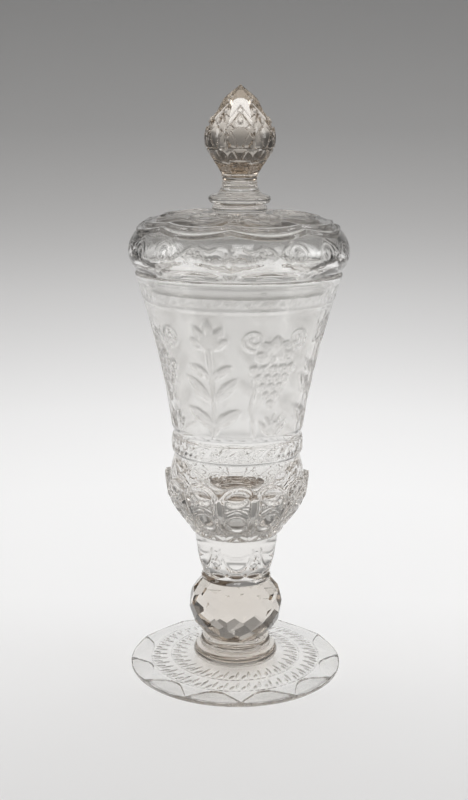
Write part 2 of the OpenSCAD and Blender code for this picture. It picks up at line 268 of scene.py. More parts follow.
def between(a, b, out, up):
    """Point at a share of the way outwards and a share of the way upwards from a to b."""
    return (a[0] + out * (b[0] - a[0]), a[1] + up * (b[1] - a[1]))


def evenly(points, pitch):
    """Points at even steps of about one pitch along a line, both ends included."""
    points = np.array(points)
    run = np.hypot(*np.diff(points, axis=0).T)
    along = np.concatenate([[0], np.cumsum(run)])
    steps = max(1, math.ceil(along[-1] / pitch))
    at = np.linspace(0, along[-1], steps + 1)
    return list(zip(np.interp(at, along, points[:, 0]), np.interp(at, along, points[:, 1])))


def bezier(a, p, q, b, pitch):
    """Cubic curve from a to b with the control points p and q."""
    t = np.linspace(0, 1, 120)[:, None]
    a, p, q, b = (np.array(point) for point in (a, p, q, b))
    points = (1 - t) ** 3 * a + 3 * (1 - t) ** 2 * t * p + 3 * (1 - t) * t ** 2 * q + t ** 3 * b
    return evenly(points, pitch)


def curve(a, b, bend, pitch):
    """Curve from a to b, bent towards two points at shares of its span."""
    return bezier(a, between(a, b, *bend[:2]), between(a, b, *bend[2:]), b, pitch)


def swell(a, b, r, pitch):
    """Swelling side of a ring from a up to b, with the radius r at its fullest."""
    reach = (r - (a[0] + b[0]) / 8) / 0.75
    return bezier(a, (reach, a[1]), (reach, b[1]), b, pitch)


def arc(centre, r, start, stop, steps=5):
    """Arc of an outline, with its angles in degrees."""
    turns = np.radians(np.linspace(start, stop, steps + 1))
    return [(centre[0] + r * math.cos(t), centre[1] + r * math.sin(t)) for t in turns]


# Modelling with Blender's own operators

def start_piece(name):
    """A new piece in edit mode, with one vertex at the origin."""
    bpy.ops.object.select_all(action="DESELECT")
    bpy.ops.mesh.primitive_plane_add(size=MM, enter_editmode=True)
    bpy.ops.mesh.merge(type="CENTER")
    piece = bpy.context.object
    piece.name = name
    piece.data.name = name
    return piece


def turn_outline(name, outline, segments, closed=True):
    """A piece turned about the axis from an outline; it stays in edit mode if it isn't closed."""
    piece = start_piece(name)
    here = (0.0, 0.0)
    for number, point in enumerate(outline):
        move = ((point[0] - here[0]) * MM, 0.0, (point[1] - here[1]) * MM)
        if number == 0:
            bpy.ops.transform.translate(value=move)
        elif math.hypot(move[0], move[2]) > TINY * MM:
            bpy.ops.mesh.extrude_vertices_move(TRANSFORM_OT_translate={"value": move})
        else:
            continue
        here = point
    bpy.ops.object.mode_set(mode="OBJECT")
    lathe = piece.modifiers.new("lathe", "SCREW")
    lathe.steps = segments
    lathe.render_steps = segments
    bpy.ops.object.modifier_apply(modifier=lathe.name)
    bpy.ops.object.mode_set(mode="EDIT")
    bpy.ops.mesh.select_all(action="SELECT")
    bpy.ops.mesh.remove_doubles(threshold=TINY * MM)
    if closed:
        close_up()
    return piece


def close_up():
    """Ends the modelling of a piece: faces outwards, object mode."""
    bpy.ops.mesh.select_all(action="SELECT")
    bpy.ops.mesh.normals_make_consistent(inside=False)
    bpy.ops.object.mode_set(mode="OBJECT")


def grind_facet(centre, direction, distance):
    """Grinds one flat facet, at a distance from a centre on the axis."""
    normal = np.array(direction) / np.linalg.norm(direction)
    place = (np.array(centre) + distance * normal) * MM
    bpy.ops.mesh.select_all(action="SELECT")
    bpy.ops.mesh.bisect(plane_co=place, plane_no=normal, use_fill=True, clear_outer=True,
                        threshold=TINY * MM / 10)


def facet_normal(angle, rise):
    """Direction of a facet that faces outwards at an angle from +X and a rise."""
    return (math.cos(rise) * math.cos(angle), math.cos(rise) * math.sin(angle), math.sin(rise))


def surface(piece):
    """The piece's vertices: radius, height, angle from the front and outward normal."""
    vertices = piece.data.vertices
    place = np.empty(3 * len(vertices))
    normal = np.empty(3 * len(vertices))
    vertices.foreach_get("co", place)
    vertices.foreach_get("normal", normal)
    x, y, z = place.reshape(-1, 3).T / MM
    nx, ny, nz = normal.reshape(-1, 3).T
    r = np.hypot(x, y)
    outward = (nx * x + ny * y) / np.maximum(r, TINY)
    return SimpleNamespace(r=r, z=z, angle=np.arctan2(x, -y), out=outward, up=nz,
                           place=np.array([x, y, z]), normal=np.array([nx, ny, nz]))


def carve(piece, heights):
    """Raises and cuts the surface by heights in millimetres, through painted weights."""
    for name, sign in (("raised", 1), ("cut", -1)):
        amount = np.clip(sign * heights, 0, None)
        most = float(amount.max())
        if most < TINY:
            continue
        group = piece.vertex_groups.new(name=name)
        for index in np.nonzero(amount > TINY)[0]:
            group.add([int(index)], float(amount[index]) / most, "REPLACE")
        displace = piece.modifiers.new(name, "DISPLACE")
        displace.vertex_group = name
        displace.mid_level = 0.0
        displace.strength = sign * most * MM
        bpy.ops.object.modifier_apply(modifier=name)
        piece.vertex_groups.clear()


def paint_matt(piece, amount):
    """Keeps how matt the surface is, from 0 to 1, as the piece's own attribute."""
    layer = piece.data.attributes.new("matt", "FLOAT", "POINT")
    layer.data.foreach_set("value", np.clip(amount, 0, 1).astype(np.float32))


def finish_piece(piece, body, glass, joints, corner=50):
    """Shades and dresses a piece; joints are the flat round places where it is fused."""
    bpy.ops.object.shade_smooth_by_angle(angle=math.radians(corner))
    piece.data.materials.clear()
    piece.data.materials.append(glass)
    faces = piece.data.polygons
    middle = np.empty(3 * len(faces))
    faces.foreach_get("center", middle)
    x, y, z = middle.reshape(-1, 3).T / MM
    inside = np.zeros(len(faces), bool)
    for height, radius in joints:
        inside |= (np.abs(z - height) < TINY * 10) & (np.hypot(x, y) < radius)
    layer = piece.data.attributes.new("joint", "FLOAT", "FACE")
    layer.data.foreach_set("value", inside.astype(np.float32))
    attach(piece, body)
    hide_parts(piece.name.removesuffix("_glass"))


# Fields for ornament; a cut is 1 where it is deepest and 0 outside it

def smooth(x, low, high):
    """Soft step from 0 at low to 1 at high."""
    t = np.clip((x - low) / (high - low), 0, 1)
    return t * t * (3 - 2 * t)


def fold(angle, number, start=0.0):
    """Angle from the middle of the nearest of a number of equal sectors."""
    sector = math.tau / number
    return (angle - start + sector / 2) % sector - sector / 2


def wrap(distance, period):
    """Distance to the nearest repeat."""
    return (distance + period / 2) % period - period / 2


def groove(distance, width):
    """Groove cut by a pointed wheel along a line."""
    return np.clip(1 - np.abs(distance) / (width / 2), 0, 1)


def lens(u, v, long, wide):
    """Lens-shaped cut from u = 0 to u = long."""
    full = np.clip(1 - (2 * u / long - 1) ** 2, 0, 1)
    half = np.maximum(wide / 2 * full, TINY)
    return full * np.clip(1 - (v / half) ** 2, 0, 1)


def oval(x, t, wide, tall):
    """How deep a point lies inside an oval, about in millimetres; below 0 outside it."""
    return min(wide, tall) / 2 * (1 - np.hypot(x / (wide / 2), t / (tall / 2)))


def leaf(s, t, root, direction, long, wide, period):
    """Lens-shaped leaf from its root in a direction in radians, on a band that repeats."""
    ds = wrap(s - root[0], period)
    dt = t - root[1]
    u = ds * math.cos(direction) + dt * math.sin(direction)
    v = dt * math.cos(direction) - ds * math.sin(direction)
    vein = 1 - 0.55 * groove(v, wide * 0.16)
    return lens(u, v, long, wide) * vein


def line_distance(s, t, points, period):
    """Distance from a line through points, on a band that repeats."""
    best = np.full(s.shape, np.inf)
    for (s0, t0), (s1, t1) in zip(points, points[1:]):
        ds = wrap(s - s0, period)
        dt = t - t0
        along = (ds * (s1 - s0) + dt * (t1 - t0)) / ((s1 - s0) ** 2 + (t1 - t0) ** 2)
        along = np.clip(along, 0, 1)
        best = np.minimum(best, np.hypot(ds - along * (s1 - s0), dt - along * (t1 - t0)))
    return best


def spiral(centre, outer, inner, start, turns, steps=28):
    """Points of a spiral that winds from its outer to its inner radius."""
    points = []
    for i in range(steps + 1):
        r = outer + (inner - outer) * i / steps
        a = start + math.tau * turns * i / steps
        points.append((centre[0] + r * math.cos(a), centre[1] + r * math.sin(a)))
    return points


# Materials

# Sizes of the streaks in the glass and of its matt grit, in millimetres
STREAK = 14
GRIT = 0.5
# Ripples of the thin walls: pitch and depth in millimetres
WALL_RIPPLES = (9, 0.06)
# Thick polished glasses: pitch and depth of the ripples in millimetres, and how many times
# as deep the cast is as in the thin walls
THICK_GLASS = {
    "thick_glass_polished": (7, 0.05, 1.0),
    # The wide foot ring: the glass's own warm cast, made six and a half times deeper as painted
    # shade
    "thick_glass_warm_cast_and_painted_shade": (7, 0.05, 6.5),
    "thick_glass_facet_cut": (12, 0.02, 3.2),
    "thick_glass_bud_cut": (12, 0.02, 5.8),
}


def add_node(tree, kind, inputs=None, **settings):
    """Adds a node with its settings, and sets or links its inputs."""
    node = tree.nodes.new(kind)
    for key, value in settings.items():
        setattr(node, key, value)
    for key, value in (inputs or {}).items():
        if isinstance(value, bpy.types.NodeSocket):
            tree.links.new(value, node.inputs[key])
        else:
            node.inputs[key].default_value = value
    return node


def new_material(name):
    """A material without nodes, and its node tree; one that exists starts afresh."""
    material = bpy.data.materials.get(name) or bpy.data.materials.new(name)
    material.use_nodes = True
    material.node_tree.nodes.clear()
    return material, material.node_tree


def end_glass(tree, shader, looks, deeper=1.0):
    """Ends a glass: its depth turns it warm grey, its shadow is the light it lets through,
    and where it is fused to the next piece no surface is left, so nothing shows."""
    path = add_node(tree, "ShaderNodeLightPath")
    joint = add_node(tree, "ShaderNodeAttribute", attribute_name="joint")
    passed = add_node(tree, "ShaderNodeMath", {
        0: path.outputs["Is Shadow Ray"], 1: joint.outputs["Fac"]}, operation="MAXIMUM")
    clear = add_node(tree, "ShaderNodeBsdfTransparent", {"Color": (*looks.shade, 1.0)})
    mixed = add_node(tree, "ShaderNodeMixShader", {
        0: passed.outputs[0], 1: shader.outputs[0], 2: clear.outputs[0]})
    depth = add_node(tree, "ShaderNodeVolumeAbsorption", {
        "Color": (*looks.depth_cast, 1.0), "Density": looks.depth * deeper})
    add_node(tree, "ShaderNodeOutputMaterial", {
        "Surface": mixed.outputs[0], "Volume": depth.outputs[0]})


def streaked(tree, place, looks):
    """Colour of clear glass, with faint streaks that are nearer to white."""
    streaks = add_node(tree, "ShaderNodeTexNoise", {
        "Vector": place, "Scale": 1 / (STREAK * MM), "Detail": 2.0})
    paler = [1 - (1 - c) * 0.6 for c in looks.clear]
    tint = add_node(tree, "ShaderNodeMix", {
        0: streaks.outputs["Fac"], 6: (*paler, 1.0), 7: (*looks.clear, 1.0)}, data_type="RGBA")
    return tint.outputs[2]


def rippled(tree, place, pitch, depth):
    """Surface normal with slow ripples that bend what shows through the glass."""
    ripples = add_node(tree, "ShaderNodeTexNoise", {
        "Vector": place, "Scale": 1 / (pitch * MM), "Detail": 1.0})
    bump = add_node(tree, "ShaderNodeBump", {
        "Height": ripples.outputs["Fac"], "Strength": 1.0, "Distance": depth * MM})
    return bump.outputs[0]


def polished_glass(name, looks):
    """Potash crystal, fire-finished or cut and polished: clear and bright, with faint
    streaks, slow ripples that bend what shows through it, and a warm grey depth."""
    material, tree = new_material(name)
    pitch, depth, deeper = THICK_GLASS[name]
    place = add_node(tree, "ShaderNodeTexCoord").outputs["Object"]
    shader = add_node(tree, "ShaderNodeBsdfPrincipled", {
        "Base Color": streaked(tree, place, looks), "Roughness": looks.polish,
        "IOR": looks.ior, "Transmission Weight": 1.0,
        "Normal": rippled(tree, place, pitch, depth)})
    end_glass(tree, shader, looks, deeper)
    return material


def engraved_glass(name, looks):
    """Crystal cut with copper wheels and left matt where the wheel went: clear and bright
    where polished, milky and softly lit where matt, with a fine grit."""
    material, tree = new_material(name)
    place = add_node(tree, "ShaderNodeTexCoord").outputs["Object"]
    matt = add_node(tree, "ShaderNodeAttribute", attribute_name="matt").outputs["Fac"]
    skin = add_node(tree, "ShaderNodeMix", {
        0: matt, 6: streaked(tree, place, looks), 7: (*looks.matt, 1.0)}, data_type="RGBA")
    # The real grit is finer than a tenth of a millimetre; it is drawn coarser, so it shows
    grit = add_node(tree, "ShaderNodeTexNoise", {
        "Vector": place, "Scale": 1 / (GRIT * MM), "Detail": 2.0})
    worn = add_node(tree, "ShaderNodeMapRange", {
        "Value": grit.outputs["Fac"], "From Min": 0.3, "From Max": 0.7,
        "To Min": looks.frost * 0.95, "To Max": looks.frost * 1.05})
    # Up to this share a matt place only scatters the light; past it, the place turns milky too
    milky_from = 0.6
    frosted = add_node(tree, "ShaderNodeMapRange", {"Value": matt, "From Max": milky_from})
    rough = add_node(tree, "ShaderNodeMix", {
        0: frosted.outputs[0], 2: looks.polish, 3: worn.outputs[0]}, data_type="FLOAT")
    let_in = add_node(tree, "ShaderNodeMapRange", {
        "Value": matt, "From Min": milky_from, "To Min": 1.0, "To Max": 0.75})
    shader = add_node(tree, "ShaderNodeBsdfPrincipled", {
        "Base Color": skin.outputs[2], "Roughness": rough.outputs[0], "IOR": looks.ior,
        "Transmission Weight": let_in.outputs[0],
        "Normal": rippled(tree, place, *WALL_RIPPLES)})
    end_glass(tree, shader, looks)
    return material


# The foot

FOOT_SEGMENTS = 600
TOP_BEND = (0.35, 0.25, 0.7, 0.7)
# Radius of a stem ring's joint as a share of the ring's radius
RING_JOINT = 0.94
# Leaf rows: radius and number of pairs
LEAF_ROWS = ((36.0, 44), (26.6, 32))
# Leaves of a pair: place of the root, lean in degrees, length and width
LEAF_PAIR = ((0.0, 76, 8.2, 1.5), (2.5, 62, 5.2, 1.6))
# How far the rows may reach past the panels' bows, and how matt the panels are
ROWS_PAST_BOWS = 3
PANEL_MATT = 0.5


def foot_glass(size, looks):
    """Flat plate with bow-shaped panels ground round its edge and two engraved leaf rows."""
    edge_r = FOOT.r - size.edge_round
    rest_r = edge_r - size.rest_w
    joint_r = FOOT_RING.r * RING_JOINT
    panel_r = edge_r - (size.panel_len - size.edge_round)
    top = curve((edge_r, size.edge_h), (FOOT_RING.r, FOOT.high), TOP_BEND, 0.4)
    outline = curve((0, size.hollow), (rest_r, 0), (0.5, 0, 0.8, 0.9), 4)
    outline += evenly([(rest_r, 0), (edge_r, 0)], 3)
    outline += arc((edge_r, size.edge_round), size.edge_round, -90, 0)
    outline += arc((edge_r, size.edge_h - size.edge_round), size.edge_round, 0, 90)
    outline += top + [(joint_r, FOOT.high), (0, FOOT.high)]
    piece = turn_outline("foot_glass", outline, FOOT_SEGMENTS)
    panels = grind_panels(piece, top, edge_r, panel_r, size)
    skin = surface(piece)
    plate = (skin.up > 0.5) & (skin.r < panel_r + ROWS_PAST_BOWS)
    rows = [leaf_row(skin, row_r, pairs) for row_r, pairs in LEAF_ROWS]
    depth = plate * np.max(rows, axis=0)
    carve(piece, -size.leaf_depth * depth)
    paint_matt(piece, np.maximum(smooth(depth, 0.05, 0.5), PANEL_MATT * panels))
    glass = engraved_glass("foot_glass_wheel_engraved", looks)
    finish_piece(piece, "goblet", glass, [(FOOT.high, joint_r)])


def grind_panels(piece, top, edge_r, panel_r, size):
    """Grinds the bow-shaped panels and tells where they are, from 0 to 1. The plate's rings
    are drawn out to the bows, so that each bow is a clean edge."""
    skin = surface(piece)
    half = math.pi / size.panels
    bow = 1 - (fold(skin.angle, size.panels, size.panel_turn + half) / half) ** 2
    bow = np.maximum(bow, 0.05)
    bow_r = edge_r - (edge_r - panel_r) * bow
    on_top = (skin.z > size.edge_h - TINY) & (skin.r > FOOT_RING.r)
    start_r = min((p[0] for p in top), key=lambda r: abs(r - panel_r))
    panel = on_top & (skin.r > start_r - 0.05)
    out_share = np.clip((skin.r - start_r) / (edge_r - start_r), 0, 1)
    in_share = np.clip((skin.r - FOOT_RING.r) / (start_r - FOOT_RING.r), 0, 1)
    drawn = np.where(panel, bow_r + out_share * (edge_r - bow_r),
                     FOOT_RING.r + in_share * (bow_r - FOOT_RING.r))
    rings = np.array(top)[::-1]
    new_r = np.where(on_top, drawn, skin.r)
    new_z = np.where(on_top, np.interp(new_r, rings[:, 0], rings[:, 1]), skin.z)
    step = size.panel_step * smooth(new_r - bow_r, 0.0, 0.35) * smooth(bow, 0.05, 0.3)
    new_z -= np.where(panel, step + (size.panel_depth - size.panel_step) * bow * out_share, 0)
    rim = (skin.r > edge_r + TINY) & (skin.z > size.edge_round)
    down = (skin.z - size.edge_round) / (size.edge_h - size.edge_round)
    new_z -= np.where(rim, size.panel_depth * bow * down, 0)
    scale = new_r / np.maximum(skin.r, TINY)
    place = np.array([skin.place[0] * scale, skin.place[1] * scale, new_z]) * MM
    piece.data.vertices.foreach_set("co", place.T.ravel())
    piece.data.update()
    return np.where(panel | rim, smooth(out_share, 0.02, 0.1), 0)


def leaf_row(skin, row_r, pairs):
    """Row of slanted leaves round the foot, long and short by turns, on a thin line."""
    root_t = 4.0
    line_t = 4.2
    period = math.tau * row_r / pairs
    s = skin.angle * row_r
    t = skin.r - row_r
    row = 0.6 * groove(t - line_t, 0.8)
    for root_s, lean, long, wide in LEAF_PAIR:
        blade = leaf(s, t, (root_s, root_t), -math.radians(lean), long, wide, period)
        row = np.maximum(row, blade)
    return row


# The knop, a ball that is ground all over in rows of flat facets

# Share of the knop's height at which it is widest
KNOP_WIDEST = 0.52
KNOP_SEGMENTS = 96


def knop_shape(size):
    """Middle height, apothem and corner radius of each end of the knop."""
    middle = KNOP.low + KNOP_WIDEST * (KNOP.high - KNOP.low)
    apothem = KNOP.r * math.cos(math.pi / size.facets)
    distance = apothem - size.end_grind
    corners = []
    for end in (KNOP.low, KNOP.high):
        reach = distance - abs(end - middle) * math.sin(size.end_rise)
        flat = reach / math.cos(size.end_rise)
        corners.append(flat / math.cos(math.pi / size.facets))
    return middle, apothem, corners


def knop_glass(size, looks):
    """Facet-cut ball of the stem."""
    middle, apothem, _ = knop_shape(size)
    cut = size.knop_joint_d / 2 / KNOP.r
    ball_h = (middle - KNOP.low) / math.sqrt(1 - cut * cut)
    heights = np.linspace(KNOP.low, KNOP.high, 40)
    ball = [(KNOP.r * math.sqrt(1 - ((z - middle) / ball_h) ** 2), z) for z in heights]
    outline = [(0, KNOP.low)] + ball + [(0, KNOP.high)]
    piece = turn_outline("knop_glass", outline, KNOP_SEGMENTS)
    bpy.ops.object.mode_set(mode="EDIT")
    half = math.pi / size.facets
    rows = [(size.rise, 0.0, apothem - size.grind), (-size.fall, half, apothem - size.grind),
            (-size.next_fall, 0.0, apothem - size.next_grind)]
    for side in (-1, 1):
        rows.append((side * size.end_rise, half, apothem - size.end_grind))
    for rise, start, distance in rows:
        for number in range(size.facets):
            angle = size.facet_turn + start + 2 * half * number
            grind_facet((0, 0, middle), facet_normal(angle, rise), distance)
    bpy.ops.mesh.select_all(action="SELECT")
    bpy.ops.mesh.dissolve_limited(angle_limit=math.radians(0.2))
    close_up()
    glass = polished_glass("thick_glass_facet_cut", looks)
    finish_piece(piece, "goblet", glass,
                 [(KNOP.low, KNOP.r), (KNOP.high, KNOP.r)], corner=6)


# The rings, which are turned and polished

RING_SEGMENTS = 192
RING_PITCH = 0.35
# Top of the wide ring's side as a share of its radius, and swell of the collar's side
WIDE_RING_TOP = 0.9
COLLAR_SWELL = 0.3


def turned_ring(name, body, outline, looks, joints, glass="thick_glass_polished"):
    """A ring that closes on flat round joints at both ends."""
    piece = turn_outline(name, outline, RING_SEGMENTS)
    finish_piece(piece, body, polished_glass(glass, looks), joints)


def ring_on_knop(name, outline, looks, knop_z, corner_r, size, other_joint):
    """A ring whose one flat end is fused to the knop's many-sided end."""
    piece = turn_outline(name, outline, RING_SEGMENTS, closed=False)
    bpy.ops.mesh.select_all(action="DESELECT")
    bpy.ops.mesh.primitive_circle_add(vertices=size.facets, radius=corner_r * MM,
                                      location=(0, 0, knop_z * MM),
                                      rotation=(0, 0, size.facet_turn))
    bpy.ops.mesh.select_all(action="DESELECT")
    bpy.ops.mesh.select_non_manifold(extend=False)
    bpy.ops.mesh.bridge_edge_loops()
    bpy.ops.mesh.select_all(action="DESELECT")
    bpy.ops.mesh.select_non_manifold(extend=False)
    bpy.ops.mesh.edge_face_add()
    close_up()
    glass = polished_glass("thick_glass_polished", looks)
    joints = [(knop_z, corner_r * 0.5), other_joint]
    finish_piece(piece, "goblet", glass, joints)


def stem_rings(size, looks):
    """Wide ring on the foot, narrow ring under the knop and collar under the bowl."""
    low_r = FOOT_RING.r * RING_JOINT
    high_r = STEM_RING.r * RING_JOINT
    top = (FOOT_RING.r * WIDE_RING_TOP, FOOT_RING.high)
    side = swell((low_r, FOOT_RING.low), top, FOOT_RING.r, RING_PITCH)
    outline = [(0, FOOT_RING.low)] + side + [(high_r, FOOT_RING.high), (0, FOOT_RING.high)]
    # The wide ring's glass has its warm cast deepened as painted shade, so the ring shows darker
    turned_ring("foot_ring_glass", "goblet", outline, looks,
                [(FOOT_RING.low, low_r), (FOOT_RING.high, high_r)], "thick_glass_warm_cast_and_painted_shade")
    corners = knop_shape(size)[2]
    lip_r = size.knop_joint_d / 2
    side = swell((high_r, STEM_RING.low), (lip_r, STEM_RING.high - size.lip_h), STEM_RING.r,
                 RING_PITCH)
    outline = [(0, STEM_RING.low)] + side + [(lip_r, STEM_RING.high)]
    ring_on_knop("stem_ring_glass", outline, looks, STEM_RING.high, corners[0], size,
                 (STEM_RING.low, high_r))
    side_r = COLLAR.r - COLLAR_SWELL
    half_z = (COLLAR.low + COLLAR.high) / 2
    joint_r = size.bowl_joint_d / 2
    side = swell((side_r, COLLAR.low), (side_r, half_z), COLLAR.r, RING_PITCH)
    outline = [(0, COLLAR.high), (joint_r, COLLAR.high)] + side[::-1]
    ring_on_knop("bowl_collar_glass", outline, looks, COLLAR.low, corners[1], size,
                 (COLLAR.high, joint_r))


# The bowl

BOWL_SEGMENTS = 324
CUP_BEND = (0.18, 0.33, 0.53, 0.66)


def bowl_outline(size):
    """Heights of the bowl's zones, and its outline from the joint over the rim to the floor."""
    z = SimpleNamespace(joint=BOWL.low, rim=BOWL.high)
    z.bulb = z.joint + size.base_h
    z.wide = z.bulb + size.bulb_mid
    z.waist = z.bulb + size.bulb_h
    z.neck = z.waist + size.band_h
    z.cup = z.neck + size.neck_h
    rim_r = size.rim_d / 2
    joint = (size.bowl_joint_d / 2, z.joint)
    bulb = (size.base_d / 2, z.bulb)
    wide = (size.bulb_d / 2, z.wide)
    waist = (size.waist_d / 2, z.waist)
    neck = (size.neck_d / 2, z.neck)
    outline = [(0, z.joint)]
    outline += curve(joint, bulb, (0.49, 0.23, 0.73, 0.56), 0.62)
    outline += curve(bulb, wide, (0, 0.27, 1, 0.4), 0.46)
    outline += curve(wide, waist, (-0.08, 0.4, 0.9, 0.65), 0.5)
    outline += swell(waist, neck, size.band_d / 2, 0.46)
    outline += evenly([neck, (neck[0], z.cup - 1.4), (size.cup_d / 2, z.cup)], 0.8)
    outline += curve((size.cup_d / 2, z.cup), (rim_r, z.rim - size.rim_round), CUP_BEND, 0.74)
    outline += arc((rim_r - size.rim_round, z.rim - size.rim_round), size.rim_round, 0, 90, 4)
    inner_rim = rim_r - size.rim_wall
    inner_low = size.cup_d / 2 - size.cup_wall
    inside = curve((inner_low, z.cup), (inner_rim, z.rim), CUP_BEND, 5)[::-1]
    outline += arc((inner_rim + 0.5, z.rim - 0.5), 0.5, 90, 180, 3)
    outline += inside[1:]
    outline += curve((size.waist_d / 2 - size.waist_wall, z.waist), (0, z.joint + size.floor_h),
                     (-0.04, 0.65, 0.1, 1), 2)
    return z, outline


def bowl_glass(size, looks):
    """Solid base, bulb with a calyx of leaf tongues, carved band and matt flaring cup."""
    z, outline = bowl_outline(size)
    piece = turn_outline("bowl_glass", outline, BOWL_SEGMENTS)
    skin = surface(piece)
    outer = (skin.out > 0.2) & (skin.r > size.bowl_joint_d / 2 + 0.2)
    heights = base_cuts(skin, z) + calyx(skin, z, size) + band_cuts(skin, z)
    cut, matt = cup_cuts(skin, z, size)
    heights = np.where(outer, heights - cut, 0)
    carve(piece, heights)
    paint_matt(piece, np.where(outer, matt, 0))
    glass = engraved_glass("bowl_glass_wheel_engraved", looks)
    finish_piece(piece, "goblet", glass,
                 [(BOWL.low, size.bowl_joint_d / 2)], corner=65)


def base_cuts(skin, z):
    """Cut lines on the solid base: bows, drops and small rings, six times round."""
    mean_r = 17.0
    repeats = 6
    depth = 0.5
    top = 19.0
    period = math.tau * mean_r / repeats
    s = skin.angle * mean_r
    t = skin.z - z.joint
    bow = [(7.0 * math.cos(a), 16.0 + 10.5 * math.sin(a))
           for a in np.linspace(math.pi, math.tau, 17)]
    flat = [(x, 13.6 - 1.4 * math.cos(x / 5.6 * math.pi / 2)) for x in np.linspace(-5.6, 5.6, 9)]
    lines = groove(line_distance(s, t, bow, period), 1.2)
    lines = np.maximum(lines, 0.7 * groove(line_distance(s, t, flat, period), 1.0))
    for place, radius in (((period / 2, 13.2), 1.5), ((period / 2 - 0.6, 8.4), 2.1)):
        ring = np.hypot(wrap(s - place[0], period), t - place[1]) - radius
        lines = np.maximum(lines, groove(ring, 1.1))
    cuts = depth * lines
    drop_long = 8.8
    for start in (0.0, period / 2):
        along = wrap(s - start, period) + drop_long / 2
        cuts = cuts + depth * lens(along, t - 3.0, drop_long, 2.6)
    return -cuts * (t < top) * (t > 0.3)


# Oval folds of a leaf: lean to either side by turns, height of the middle and of the fold
LEAF_LEAN = 0.3
CURL_BELOW_TIP = 5.4
CURL_TALL = 10.0
FOLD_ABOVE_BULB = 13.0
FOLD_TALL = 12.0
VEIN_PITCH = 4.4
VEIN_DEPTH = 0.3


def calyx(skin, z, size):
    """Leaf tongues, each with a broad curled tip and a second fold below it."""
    tip = z.bulb + size.leaf_top
    x = skin.r * np.sin(fold(skin.angle, size.leaves))
    climb = np.clip((skin.z - z.bulb) / size.leaf_top, 0, 1)
    number = np.round(skin.angle * size.leaves / math.tau)
    lean = np.where(number % 2 < 1, LEAF_LEAN, -LEAF_LEAN)
    up = skin.z - (tip - CURL_BELOW_TIP)
    curl = oval(x + lean * up, up - lean * x, size.leaf_w, CURL_TALL)
    up = skin.z - (z.bulb + FOLD_ABOVE_BULB)
    low_fold = oval(x - lean * up, up + lean * x, size.leaf_w * 0.86, FOLD_TALL)
    shaft = size.leaf_w * (0.34 + 0.1 * climb) - np.abs(x)
    shaft = np.minimum(shaft, tip - 5.0 - skin.z)
    body = np.maximum(np.maximum(curl, low_fold), shaft)
    proud = size.leaf_relief * (0.45 + 0.55 * climb ** 1.5)
    relief = proud * smooth(body, 0.0, 0.8)
    relief -= size.leaf_hollow * smooth(curl, 1.1, 2.5)
    relief -= 0.85 * size.leaf_hollow * smooth(low_fold, 1.1, 2.4)
    relief -= 0.5 * groove(x, 1.3) * smooth(-skin.z, -(z.bulb + 8), -(z.bulb + 7))
    veins = np.sin((skin.z - z.bulb + 0.6 * np.abs(x)) * math.tau / VEIN_PITCH)
    bare = smooth(shaft, 0.4, 1.4) * smooth(-np.maximum(curl, low_fold), -0.3, 0.3)
    relief += VEIN_DEPTH * veins * bare
    relief *= smooth(skin.z, z.bulb + 1.0, z.bulb + 2.2)
    return relief - strokes_over_calyx(skin, z, size)


def strokes_over_calyx(skin, z, size):
    """Depth of the short cut strokes between the leaf tips and the waist."""
    mean_r = 30.5
    depth = 0.3
    wide = 0.9
    t = skin.z - z.waist
    s = skin.angle * mean_r
    period = math.tau * mean_r / size.leaves
    stroke = [(period / 2, -7.0), (period / 2 + 0.8, -1.6)]
    comma = [(2.6, -5.6), (3.5, -4.6), (3.2, -3.2)]
    lines = np.maximum(groove(line_distance(s, t, stroke, period), wide),
                       0.8 * groove(line_distance(s, t, comma, period), wide))
    return depth * lines


# Beads of the carved band: place along a repeat as a share, height, radius and depth
BAND_BEADS = ((0.5, 3.2, 1.3, 0.5), (0.35, 6.8, 1.0, 0.4))


def band_cuts(skin, z):
    """Carved band at the waist: leaning leaves and beads on a line."""
    mean_r = 30.0
    leaves = 30
    period = math.tau * mean_r / leaves
    s = skin.angle * mean_r
    t = skin.z - z.waist
    cuts = 0.55 * leaf(s, t, (-1.6, 1.4), math.radians(60), 7.0, 3.2, period)
    for along, up, radius, depth in BAND_BEADS:
        out = np.hypot(wrap(s - period * along, period), t - up)
        cuts = np.maximum(cuts, depth * np.clip(1 - (out / radius) ** 2, 0, 1))
    cuts = np.maximum(cuts, 0.3 * groove(t - 0.4, 0.9))
    return -cuts


# Mean radius of the cup, at which its ornament is drawn, and height of the border
CUP_MEAN_R = 36.0
BORDER_H = 8.6


def cup_cuts(skin, z, size):
    """Cut depth and mattness of the cup: plant frieze, leaf border and polished lip."""
    s = skin.angle * CUP_MEAN_R
    t = skin.z - z.cup
    cut = size.frieze_depth * plant_frieze(s, t, size)
    line_t = size.frieze_h
    lip_t = size.frieze_h + BORDER_H
    frieze = smooth(t, 0.1, 0.7) * smooth(-t, -line_t - 0.2, -line_t + 0.4)
    form = smooth(cut, 0.02, 0.3 * size.frieze_depth)
    border = border_leaves(s, t - line_t)
    band = smooth(t, line_t + 0.4, line_t + 1.0) * smooth(-t, -lip_t - 0.3, -lip_t + 0.3)
    matt = frieze * (0.6 + 0.35 * form) + band * (0.5 + 0.4 * smooth(border, 0.1, 0.6))
    cut = cut * frieze + 0.2 * border * band
    cut = cut + 0.35 * groove(t - line_t, 1.6) + 0.25 * groove(t - lip_t, 1.2)
    cut = cut + 0.3 * groove(t, 1.4)
    return cut, matt


# Paired leaves of a flower: height of the root, lean in degrees, length and width
FLOWER_LEAVES = ((41.0, 90, 15.0, 5.6), (41.0, 62, 13.0, 4.8), (41.0, 34, 10.0, 4.0),
                 (28.0, 34, 12.0, 4.4), (17.0, 44, 18.0, 5.8), (6.0, 30, 17.0, 6.4),
                 (2.0, 66, 12.0, 3.8))
GRAPE_ROWS = 5


